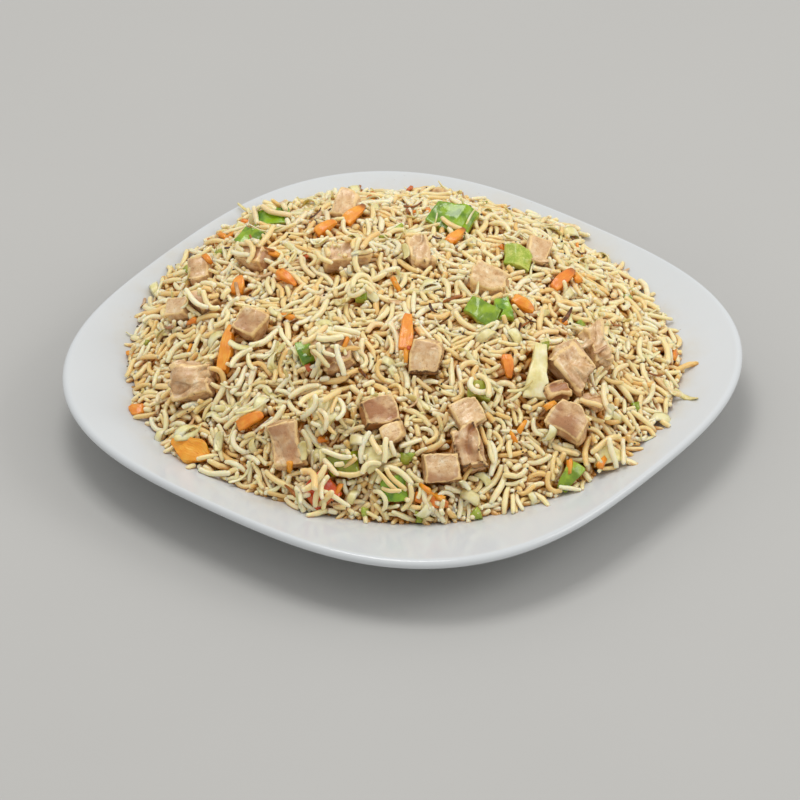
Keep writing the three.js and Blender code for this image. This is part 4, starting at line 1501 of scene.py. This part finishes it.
def raise_bed(places, reach):
    """Lifts the map to the outside of what now lies there."""
    u, v, far = seen_from_heart(places)
    inside = disc_far[None, :] < reach[:, None]
    swell = np.sqrt(np.clip(reach[:, None] ** 2 - disc_far[None, :] ** 2, 0, None))
    rows = on_map(cell_of(u)[:, None] + disc_rows[None, :])
    columns = on_map(cell_of(v)[:, None] + disc_columns[None, :])
    tops = far[:, None] + swell
    np.maximum.at(bed, (rows[inside], columns[inside]), tops[inside])


# %% Put the core and the toppings on the map
SHOWN_OVER = 0.4  # a topping is seen where it stands this far out of the mound's form
KEEP_OFF = {  # how firmly the rice keeps off toppings that are partly covered; it is 1 for the others
    "red_pepper_01": 0.9, "green_pepper_09": 0.9, "green_pepper_10": 0.9,
    "green_pepper_11": 0.5, "green_pepper_02": 0.4, "green_pepper_04": 0.5,
    "carrot_stick_04": 0.5, "onion_02": 0.6, "onion_03": 0.5, "onion_04": 0.5,
    "chicken_02": 0.5, "chicken_19": 0.5, "chicken_20": 0.6, "chicken_12": 0.4, "chicken_16": 0.6,
}
COVER_HEIGHT = 1.0  # how high rice may lie on those


def put_on_map(points):
    """Lifts the map to a cloud of points, each with the cells round it."""
    u, v, far = seen_from_heart(points)
    for i, j in np.ndindex(3, 3):
        np.maximum.at(bed, (on_map(cell_of(u) + i - 1), on_map(cell_of(v) + j - 1)), far)


core_shown = plan_core > plan_plate
put_on_map(np.stack([plan_x[core_shown], plan_y[core_shown], plan_core[core_shown]], axis=1))
all_parts = {**chicken_parts, **carrot_parts, **green_parts, **red_parts, **onion_parts}
taken = np.zeros(form.shape)  # how firmly the rice keeps off a place, and 0 where no topping is seen
underside = np.full(form.shape, np.inf)
for node, part in all_parts.items():
    u, v, far = seen_from_heart(part.points)
    np.minimum.at(underside, (cell_of(u), cell_of(v)), far)
    shown = far > form[cell_of(u), cell_of(v)] + SHOWN_OVER
    taken[cell_of(u[shown]), cell_of(v[shown])] = KEEP_OFF.get(node, 1.0)
print("toppings cover", round((taken > 0).mean() * (2 * MAP_HALF) ** 2 / 100), "square centimetres")


def level_of(heights, window):
    """A map evened out over so many cells each way."""
    for axis in (0, 1):
        heights = np.mean([np.roll(heights, k, axis) for k in range(-window, window + 1)], axis=0)
    return heights


LEVEL_AT_FOOT = 0.0  # where the middles of the top grains lie against the mound's form
LEVEL_ABOVE = -2.6
FOOT_SHARE = 0.12  # the part of the mound's radius in which the one becomes the other
BANK_HEIGHT = 3.2  # how much higher the rice comes beside a topping
BANK_WIDTH = 9  # in cells
BANK_SOFTNESS = 3  # in cells
BANK_STEEPNESS = 2.6
UNDER_WIDTH = 6  # in cells: how far round a topping the rice is laid before it
UNDER_GAP = -0.3  # how far over a topping's underside the rice under it may come
by_topping = level_of(level_of((taken > 0).astype(float), BANK_WIDTH), BANK_SOFTNESS)
near_topping = np.clip(BANK_STEEPNESS * by_topping, 0, 1)
above_foot = soft_step(1 - heap_share(form_spots[..., 0], form_spots[..., 1]), 0.0, FOOT_SHARE)
plain_goal = form + LEVEL_AT_FOOT + (LEVEL_ABOVE - LEVEL_AT_FOOT) * above_foot
under_goal = np.minimum(plain_goal, underside + UNDER_GAP)
near_cells = np.argwhere(on_heap & (level_of((underside < np.inf).astype(float), UNDER_WIDTH) > 0))

# %% [markdown]
# ## Laying the rice
#
# The heap is laid from the inside out. Half-sunk grains first cover the core, and others are packed
# under and close round the toppings. Then come the toppings and the rest of the rice, grain by
# grain, each at the place that most lacks rice out of a few drawn at random, so hollows fill first
# and the heap grows evenly. There it is turned in a few ways, and the lowest one is kept. Some are
# stood up, so that their tips show. Rice banks up a little to each topping, and few grains may lie
# across one. In three last rounds grains are pushed into the holes that are left. A place where
# nothing fits is left alone for a while.

# %% Try a grain in a few ways and keep the best
PLACES = 10  # how many places are drawn for each grain
TRIES = 4  # how many ways of laying it are tried at the best of them
GRAIN_SCALE = (0.86, 1.1)
ACROSS_LIMIT = 0.2  # the part of a grain that may lie over a topping without question
ACROSS_TOPPING = 0.2  # the share of grains that may lie over one all the same
ACROSS_MARK = 20  # far above any mark that is kept
STEEP_PITCH = (30, 75)
STEEP_OVER = (0.0, 1.9)  # how far a steep grain's tip stands over the level that the rice should reach
STEEPEST_ROLL = 1.2  # in radians


class Laid:
    """What is kept for each copy: place, turn, size, shape number and looks."""

    def __init__(self):
        self.rows = []

    def add(self, place, turn, scale, shape, looks):
        self.rows.append((*place, *Matrix(turn).to_euler(), scale, shape, *looks))

    def columns(self):
        return np.array(self.rows).reshape(len(self.rows), -1)


NEXT_CELLS = 3  # how far what is next to a place reaches, in cells
SPOT_CHANCE = 0.4  # how far from the middle of its cell a grain may be laid
TIRING = 1.0
HEAP_CELLS = np.argwhere(on_heap)
near_rows, near_columns = np.indices((3, 3)).reshape(2, -1) - 1
tired = np.zeros_like(form)  # grows where a grain was tried in vain
goal = under_goal.copy()


def low_place(rng, places=PLACES, spread=NEXT_CELLS, cells_to_fill=HEAP_CELLS):
    """The place on the mound that most lacks rice, out of a few drawn at random."""
    cells = cells_to_fill[rng.integers(len(cells_to_fill), size=places)]
    rows = cells[:, 0, None] + near_rows * spread
    columns = cells[:, 1, None] + near_columns * spread
    lack = (goal[rows, columns] - bed[rows, columns] - tired[rows, columns]).mean(axis=1)
    i, j = cells[lack.argmax()]
    aside, ahead = rng.uniform(-SPOT_CHANCE, SPOT_CHANCE, 2)
    return map_line[i] + aside, map_line[j] + ahead


def tire(spot):
    """Makes a place less wanted after a grain was tried there in vain."""
    i, j = cell_of(np.array(spot))
    tired[i - NEXT_CELLS:i + NEXT_CELLS + 1, j - NEXT_CELLS:j + NEXT_CELLS + 1] += TIRING


def roll_for(spot, yaw, spread, rng):
    """The roll that follows the mound's slope, give or take."""
    i, j = cell_of(np.array(spot))
    side_slope = -math.sin(yaw) * slope_u[i, j] + math.cos(yaw) * slope_v[i, j]
    gentle = max(-STEEPEST_ROLL, min(STEEPEST_ROLL, side_slope))
    return math.atan(gentle) + math.radians(rng.normal(0, spread / 2))


Found = namedtuple("Found", "mark place turn scale number places reach")  # a low mark is good


def try_lying(kind, spot, rng, soft=SOFT_POINTS, mind=1):
    """One way to lay a grain flat, marked by how high it lies."""
    number = int(rng.integers(SHAPES_PER_KIND))
    yaw = rng.uniform(-math.pi, math.pi)
    roll = roll_for(spot, yaw, GRAIN_KINDS[kind]["roll"], rng)
    scale = rng.uniform(*GRAIN_SCALE)
    shape = grain_families[kind][number]
    turn, place, places, reach, lift = rest(shape, scale, spot, yaw, roll, soft=soft)
    i, j = cell_of(np.array(spot))
    over = lift + form[i, j] - goal[i, j]
    return Found(over + mind * crossing(places, rng), place, turn, scale, number, places, reach)


def try_steep(kind, spot, rng, pitches=STEEP_PITCH, overs=STEEP_OVER, soft=SOFT_POINTS, mind=1):
    """One way to stand a grain in the heap, marked by how far its tip misses the height it should have."""
    number = int(rng.integers(SHAPES_PER_KIND))
    yaw, roll = rng.uniform(-math.pi, math.pi, 2)
    pitch = rng.choice([-1, 1]) * math.radians(rng.uniform(*pitches))
    scale = rng.uniform(*GRAIN_SCALE)
    shape = grain_families[kind][number]
    turn, place, places, reach, _ = rest(shape, scale, spot, yaw, roll, pitch, soft=soft)
    u, v, far = seen_from_heart(places)
    over = (far + reach - goal[cell_of(u), cell_of(v)]).max()
    miss = abs(over - rng.uniform(*overs))
    return Found(miss + mind * crossing(places, rng), place, turn, scale, number, places, reach)


def crossing(places, rng):
    """A high mark against a grain that would hide a topping."""
    u, v, _ = seen_from_heart(places)
    across = taken[cell_of(u), cell_of(v)].mean()
    return ACROSS_MARK if across > ACROSS_LIMIT and rng.random() > ACROSS_TOPPING else 0


def best_of(way, *facts):
    """The best of a few tries at one way of laying a grain."""
    return min((way(*facts) for _ in range(TRIES)), key=lambda found: found.mark)


def keep_grain(found, kind, laid, rng):
    """Lifts the map to a grain and writes down how it lies."""
    raise_bed(found.places, found.reach)
    laid[kind].add(found.place, found.turn, found.scale, found.number, (rng.random(), rng.random()))


def keep_or_tire(found, most, kind, spot, laid, rng):
    """Keeps a grain if its mark is low enough, and otherwise leaves the place alone for a while."""
    if found.mark < most:
        keep_grain(found, kind, laid, rng)
    else:
        tire(spot)


print(len(HEAP_CELLS), "cells of the map lie on the mound")

# %% Lay grains under the toppings, then the toppings, then the rest
DEEP_GRAINS = 2000  # how many are half sunk in the core
DEEP_SOFT = 15  # as SOFT_POINTS, for grains that are pushed into the core
UNDER_GRAINS = 1100  # how many are tried under and round the toppings
UNDER_SOFT = 9
UNDER_KINDS = ("broken_grains", "bowed_grains", "straight_grains")
STEEP_SHARE = 0.3
STEEP_MISS = 0.9  # how far a steep grain's tip may miss its height
NEVER_STEEP = ("curled_grains", "broken_grains")
FLAT_OVER = 0.3  # the highest that a lying grain's middle may be over its level
PROUD_SHARE = 0.06
PROUD_OVER = 1.8  # the same for the few grains that stand proud


def lay_deep(count, laid, rng):
    """Half sinks grains in the core, for the eye to meet wherever the layers on top leave a hole."""
    for _ in range(count):
        keep_grain(try_lying("deep_grains", low_place(rng), rng, DEEP_SOFT), "deep_grains", laid, rng)


def lay_under(count, laid, rng):
    """Packs rice under and close round the toppings, before they are put on the map."""
    for _ in range(count):
        spot = low_place(rng, PLACES, 1, near_cells)
        kind = rng.choice(UNDER_KINDS)
        found = best_of(try_lying, kind, spot, rng, UNDER_SOFT, 0)
        keep_or_tire(found, FLAT_OVER, kind, spot, laid, rng)


def lay_toppings():
    """Puts the toppings on the map, and sets how high the rice has to come beside and on them."""
    for part in all_parts.values():
        put_on_map(part.points)
    tired[:] = 0
    goal[:] = plain_goal + BANK_HEIGHT * near_topping
    cover = (taken > 0) & (taken < 1)
    goal[cover] = np.maximum(goal, bed + COVER_HEIGHT)[cover]


def lay_grains(order, laid, rng):
    """Lays or stands grains of the kinds in order."""
    for kind in order:
        steep = rng.random() < STEEP_SHARE and kind not in NEVER_STEEP
        spot = low_place(rng)
        found = best_of(try_steep if steep else try_lying, kind, spot, rng)
        flat_most = PROUD_OVER if rng.random() < PROUD_SHARE else FLAT_OVER
        keep_or_tire(found, STEEP_MISS if steep else flat_most, kind, spot, laid, rng)


# %% Fill the holes that are left
GAP_KINDS = ("broken_grains", "broken_grains", "bowed_grains", "straight_grains")
GAP_PLACES = 24
GAP_PITCH = (45, 90)
GAP_OVER = (-0.6, 0.8)
GAP_MISS = 1.0
UPRIGHT_SHARE = 0.4
LOW_DEPTH = 1.2  # how far under the form a place counts as low

# soft sets how many points may sink in, most how high a lying grain may be, mind whether it minds
# the toppings or may sink into their sides, and spread how wide a hole is, in cells.
GAP_ROUNDS = (
    dict(count=2000, soft=11, most=-0.3, mind=1, spread=2),
    dict(count=1300, soft=18, most=-0.9, mind=1, spread=1),
    dict(count=2400, soft=19, most=-0.8, mind=0, spread=0),
)


def fill_gaps(laid, rng, count, soft, most, mind, spread):
    """Pushes grains into the holes that are still open, between and partly into the others."""
    tired[:] = 0
    for _ in range(count):
        upright = rng.random() < UPRIGHT_SHARE
        spot = low_place(rng, GAP_PLACES, spread)
        kind = rng.choice(GAP_KINDS)
        if upright:
            found = best_of(try_steep, kind, spot, rng, GAP_PITCH, GAP_OVER, soft, mind)
        else:
            found = best_of(try_lying, kind, spot, rng, soft, mind)
        keep_or_tire(found, GAP_MISS if upright else most, kind, spot, laid, rng)


def how_many(laid):
    """How many copies are laid, of all kinds together."""
    return sum(len(copies.rows) for copies in laid.values())


def report_bed(step, laid):
    """Prints how far the heap has grown."""
    low = [round(float((form - bed > depth)[on_heap].mean()), 3) for depth in (LOW_DEPTH, 2 * LOW_DEPTH)]
    print(how_many(laid), "grains after", step, "and low shares", *low)


# %% [markdown]
# ### Strewing the small bits
#
# Bits that the photograph shows clearly are put at the pixel where it shows them: a line is drawn
# from the camera through that pixel to the place where it meets the heap. The rest, and all on the
# far slope, are strewn by chance. They go in before the last grains, so some are half covered. Only
# fried strips and pepper specks are strewn last of all, because they lie on top.

# %% Bits by pixel and by chance
SEEN_AT = {  # (pixels from the left, pixels from the top)
    "carrot_crumbs": (
        (129, 353), (188, 348), (288, 317), (299, 207), (372, 197), (413, 212), (275, 256), (396, 281),
        (506, 242), (577, 276), (406, 360), (429, 493), (321, 438), (549, 406), (674, 356), (571, 467),
        (520, 428), (223, 236), (206, 257), (564, 321), (513, 437), (603, 462), (289, 467), (190, 321),
        (338, 490), (439, 497), (425, 488),
    ),
    "green_crumbs": (
        (147, 343), (409, 457), (418, 519), (475, 515), (546, 344), (365, 512), (383, 236), (221, 251),
        (583, 325), (308, 350), (637, 406), (629, 296), (405, 459), (420, 515),
    ),
    "fried_strips": ((525, 325), (518, 330), (530, 320), (413, 208), (408, 214), (565, 318), (452, 300)),
    "chicken_threads": ((143, 303), (319, 217), (172, 328), (585, 345), (600, 350)),
}
SEEN_SCALE = (0.8, 1.3)
STREWN = {  # how many by chance, and whether on the far slope alone
    "carrot_crumbs": (14, True), "green_crumbs": (10, True), "red_crumbs": (9, False),
    "leaf_ribbons": (110, False), "onion_threads": (90, False), "fried_strips": (24, False),
    "chicken_threads": (16, False), "pepper_specks": (170, False),
}
STREWN_LAST = ("fried_strips", "pepper_specks")
STREWN_SCALE = (0.7, 1.2)
FAR_SLOPE = 40.0  # how far back on the map the photograph still shows the heap
BIT_SINK = {  # how far each kind is pushed into the rice
    "carrot_crumbs": 1.4, "green_crumbs": 1.3, "red_crumbs": 1.2, "leaf_ribbons": 1.0, "onion_threads": 0.9,
    "fried_strips": 0.3, "chicken_threads": 0.7, "pepper_specks": 0.2,
}
BIT_ROLL = 50  # in degrees
STREWING_SEED = 60
SIGHT_STEPS = np.arange(130, -60, -0.25)[:, None]  # along a line of sight, from before the rim's middle


def spot_seen_at(right, down):
    """The place on the map that the camera sees at a pixel, as the heap now stands."""
    across = (right - RIM_MIDDLE_SEEN[0]) / PIXELS_PER_MM
    up = (RIM_MIDDLE_SEEN[1] - down) / PIXELS_PER_MM
    rim_middle = np.array([0, 0, RIM_HEIGHT])
    target = rim_middle + np.array(RIGHTWARD) * across + np.array(UPWARD) * up
    way = rim_middle + np.array(TO_VIEWER) * DISTANCE - target
    u, v, far = seen_from_heart(target + SIGHT_STEPS * way / np.linalg.norm(way))
    met = (far < bed[cell_of(u), cell_of(v)]).argmax()
    return float(u[met]), float(v[met])


def lay_bit(kind, spot, scale, rng):
    """Lays one bit flat on the heap, pushed in a little."""
    number = int(rng.integers(SHAPES_PER_BIT))
    yaw = rng.uniform(-math.pi, math.pi)
    roll = roll_for(spot, yaw, BIT_ROLL, rng)
    shape = bit_families[kind][number]
    turn, place, places, reach, _ = rest(shape, scale, spot, yaw, roll, sink=BIT_SINK[kind])
    raise_bed(places, reach)
    bits[kind].add(place, turn, scale, number, (rng.random(), rng.random()))


def strew(kind, rng):
    """Lays the bits of one kind that lie by chance."""
    count, far_only = STREWN[kind]
    done = 0
    while done < count:
        i, j = HEAP_CELLS[rng.integers(len(HEAP_CELLS))]
        if taken[i, j] == 0 and (map_line[j] > FAR_SLOPE or not far_only):
            lay_bit(kind, (map_line[i], map_line[j]), rng.uniform(*STREWN_SCALE), rng)
            done += 1


bits = {kind: Laid() for kind in BIT_KINDS}
bit_rng = np.random.default_rng(SEED + STREWING_SEED)

# %% Lay the heap from the inside out
EARLY_SHARE = 0.8  # the part of the rice that is laid before any bits
LAYING_SEED = 5
grain_rng = np.random.default_rng(SEED + LAYING_SEED)
grain_order = [kind for kind, facts in GRAIN_KINDS.items() for _ in range(facts["count"])]
grain_rng.shuffle(grain_order)
laid = {kind: Laid() for kind in GRAIN_KINDS}
early = int(EARLY_SHARE * len(grain_order))
lay_deep(DEEP_GRAINS, laid, grain_rng)
report_bed("the deep ones", laid)
lay_under(UNDER_GRAINS, laid, grain_rng)
report_bed("those under the toppings", laid)
lay_toppings()
lay_grains(grain_order[:early], laid, grain_rng)
for kind in BIT_KINDS:
    if kind not in STREWN_LAST:
        strew(kind, bit_rng)
lay_grains(grain_order[early:], laid, grain_rng)
report_bed("laying", laid)
for gap_round in GAP_ROUNDS:
    fill_gaps(laid, grain_rng, **gap_round)
    report_bed("filling", laid)
for kind, pixels in SEEN_AT.items():
    for right, down in pixels:
        lay_bit(kind, spot_seen_at(right, down), bit_rng.uniform(*SEEN_SCALE), bit_rng)
for kind in STREWN_LAST:
    strew(kind, bit_rng)
print(how_many(bits), "small bits")
print("the bed stands", round(float((bed - form)[on_heap].mean()), 2), "mm over the form")

# %% [markdown]
# ## Copies with Geometry Nodes
#
# Every grain is now a place, a turn, a size and the number of its shape. Geometry Nodes set the
# copies out: the points carry those numbers, Instance on Points picks the shape and turns it, and
# Realize Instances makes plain geometry of it. Copying meshes in Python would be much slower.

# %% The group that sets out copies
FIRST_LOOK = 8  # the column after those for a copy's place, turn, size and shape


def copies_group(name, material):
    """Sets out copies of the shapes in a collection, as the points' own numbers say."""
    group, tree, given = new_group(name, {"Shapes": "Collection", "Size": "Float"})
    settings = {"transform_space": "ORIGINAL"}
    inputs = {"Collection": given["Shapes"], "Separate Children": True, "Reset Children": True}
    shapes = tree.add("GeometryNodeCollectionInfo", settings, inputs)
    turn = named(tree, "turn", "FLOAT_VECTOR")
    instances = tree.add("GeometryNodeInstanceOnPoints", {}, {
        "Points": given["Geometry"],
        "Instance": shapes,
        "Pick Instance": True,
        "Instance Index": named(tree, "shape", "INT"),
        "Rotation": tree.add("FunctionNodeEulerToRotation", {}, {0: turn}),
        "Scale": named(tree, "scale", "FLOAT") * given["Size"],
    })
    end_group(tree, instances, material)
    return group


def named(tree, name, data_type):
    """What the points keep under this name."""
    return tree.add("GeometryNodeInputNamedAttribute", {"data_type": data_type}, {"Name": name})


def copies_mesh(name, laid_rows, shapes, material, looks):
    """The plain mesh of all copies of one kind."""
    collection = bpy.data.collections.new(name)
    helpers = []
    for i, shape in enumerate(shapes):
        helper = bpy.data.objects.new(f"{name}_{i:02d}", shape.mesh)
        collection.objects.link(helper)
        helpers.append(helper)
    points = bpy.data.meshes.new(name + "_points")
    points.from_pydata((laid_rows[:, 0:3] * MM).tolist(), [], [])
    keep_vector(points, "turn", laid_rows[:, 3:6])
    keep_number(points, "scale", laid_rows[:, 6])
    numbers = points.attributes.new("shape", "INT", "POINT")
    numbers.data.foreach_set("value", laid_rows[:, 7].astype(np.int32))
    for k, look in enumerate(looks):
        keep_number(points, look, laid_rows[:, FIRST_LOOK + k])
    values = {"Shapes": collection, "Size": 1.0}
    mesh = run_group(points, copies_group(name, material), values)
    for helper in helpers:
        bpy.data.objects.remove(helper)
    bpy.data.collections.remove(collection)
    return mesh


# %% [markdown]
# ### The rice's finish
#
# A cooked grain is cream-coloured and a little translucent, with a moist sheen. The pan stains some
# grains, and soy sauce and shade darken the ones that lie deep. Every grain has its own tint, so the
# heap isn't one colour, and each is mottled and paler at its tips. Tint, stain and depth are numbers
# kept on the mesh, and the mottling is noise, because a painted image would blur when seen close.

# %% Make the rice's finish and the pieces
def rice_finish():
    """Cream-coloured and moist, darker and warmer deep down, from soy stain and painted shade."""
    material, tree, place = new_finish("cooked_rice")
    tint = tree.attribute("tint")
    toast = tree.attribute("toast")
    depth = tree.attribute("depth")
    along = tree.attribute("along")
    mottle = tree.noise(place, 420.0, 3.0, 0.6)
    fine = tree.noise(place, 1400.0, 2.0)
    cream = tree.ramp(tint, [
        (0.0, colour(255, 240, 206)),
        (0.5, colour(252, 229, 178)),
        (0.85, colour(246, 214, 152)),
        (1.0, colour(236, 196, 126)),
    ])
    mottled = tree.mix(tree.step(mottle, 0.45, 0.75) * 0.25, cream, colour(234, 202, 142))
    tips = tree.maths("ABSOLUTE", along - 0.5) * 2.0
    pale = tree.mix(tree.step(tips, 0.8, 1.0) * 0.4, mottled, colour(255, 245, 222))
    stain = tree.step(toast + (mottle - 0.5) * 0.5, 0.72, 1.0) * 0.35
    stained = tree.mix(stain, pale, colour(226, 178, 106))
    # Soy stain and painted shade: the deeper a grain lies, where shade falls between the grains, the more
    # it is mixed to dark orange-brown.
    deep = tree.mix(depth**0.55 * 0.96, stained, colour(198, 126, 4))
    relief = tree.bump(fine * 0.5 + mottle * 0.5, 0.22 * MM)
    tree.surface(Base_Color=deep, Roughness=0.26 + fine * 0.14, Normal=relief,
                 Subsurface_Weight=0.75, Subsurface_Radius=(1.0, 0.78, 0.5),
                 Subsurface_Scale=LIGHT_DEPTH, Coat_Weight=(1.0 - depth) * 0.25,
                 Coat_Roughness=0.1, Specular_IOR_Level=0.3)
    return material


PALE_DEPTH = 0.7  # the top grains keep their own colour down to here
# How far down the darkening reaches, as soy stain and painted shade.
SHADE_AND_STAIN_DEPTH = 2.3
TOP_OVER = 1.6  # how far the backs of the top grains stand over the level their middles should have
LEVEL_WINDOW = 5  # in cells


def keep_depth(mesh, level):
    """Keeps how deep each point of a mesh lies in the heap, 0 at the top and 1 deep down."""
    u, v, far = seen_from_heart(points_of(mesh))
    below = level[cell_of(u), cell_of(v)] - far
    keep_number(mesh, "depth", np.clip((below - PALE_DEPTH) / SHADE_AND_STAIN_DEPTH, 0, 1))


rice_material = rice_finish()
heap_level = np.minimum(level_of(bed, LEVEL_WINDOW), plain_goal + TOP_OVER)
for kind in GRAIN_KINDS:
    mesh = copies_mesh(kind, laid[kind].columns(), grain_families[kind], rice_material, ("tint", "toast"))
    keep_depth(mesh, heap_level)
    add_piece(kind, mesh, "rice", "rice_heap")
add_piece("rice_core", rice_core, "rice", "rice_heap")

# %% [markdown]
# ### Finishes and pieces of the small bits
#
# Crumbs of carrot, pepper, onion and chicken share the finishes of the larger pieces, which read the
# same numbers from the mesh. Only the fried strips and the cracked pepper are new: both are dark,
# and the strips are glossy with oil, with lighter golden stretches.

# %% Make the bits
def dark_finish(name, darker, lighter, roughness):
    """A dark, patchy finish for burnt or black bits."""
    material, tree, place = new_finish(name)
    blotch = tree.noise(place, 480.0, 2.0)
    share = tree.step(blotch * 0.6 + tree.attribute("tone") * 0.4, 0.35, 0.7)
    shade = tree.mix(share, darker, lighter)
    tree.surface(Base_Color=shade, Roughness=roughness + blotch * 0.2, Normal=tree.bump(blotch, 0.2 * MM))
    return material


fried_material = dark_finish("fried_brown", colour(74, 34, 8), colour(176, 104, 30), 0.28)
cracked_material = dark_finish("cracked_pepper", colour(26, 18, 12), colour(78, 56, 36), 0.5)
BIT_FINISHES = {  # (finish, slot, the numbers that the finish reads)
    "carrot_crumbs": (carrot_material, "carrot", ("tone",)),
    "green_crumbs": (green_material, "green_pepper", ("tone", "skin")),
    "red_crumbs": (red_material, "red_pepper", ("tone", "skin")),
    "leaf_ribbons": (onion_material, "onion", ("tone",)),
    "onion_threads": (onion_material, "onion", ("tone",)),
    "fried_strips": (fried_material, "onion", ("tone",)),
    "chicken_threads": (chicken_material, "chicken", ("tone", "dip")),
    "pepper_specks": (cracked_material, "rice", ("tone",)),
}
for kind, (material, slot, looks) in BIT_FINISHES.items():
    add_piece(kind, copies_mesh(kind, bits[kind].columns(), bit_families[kind], material, looks), slot)
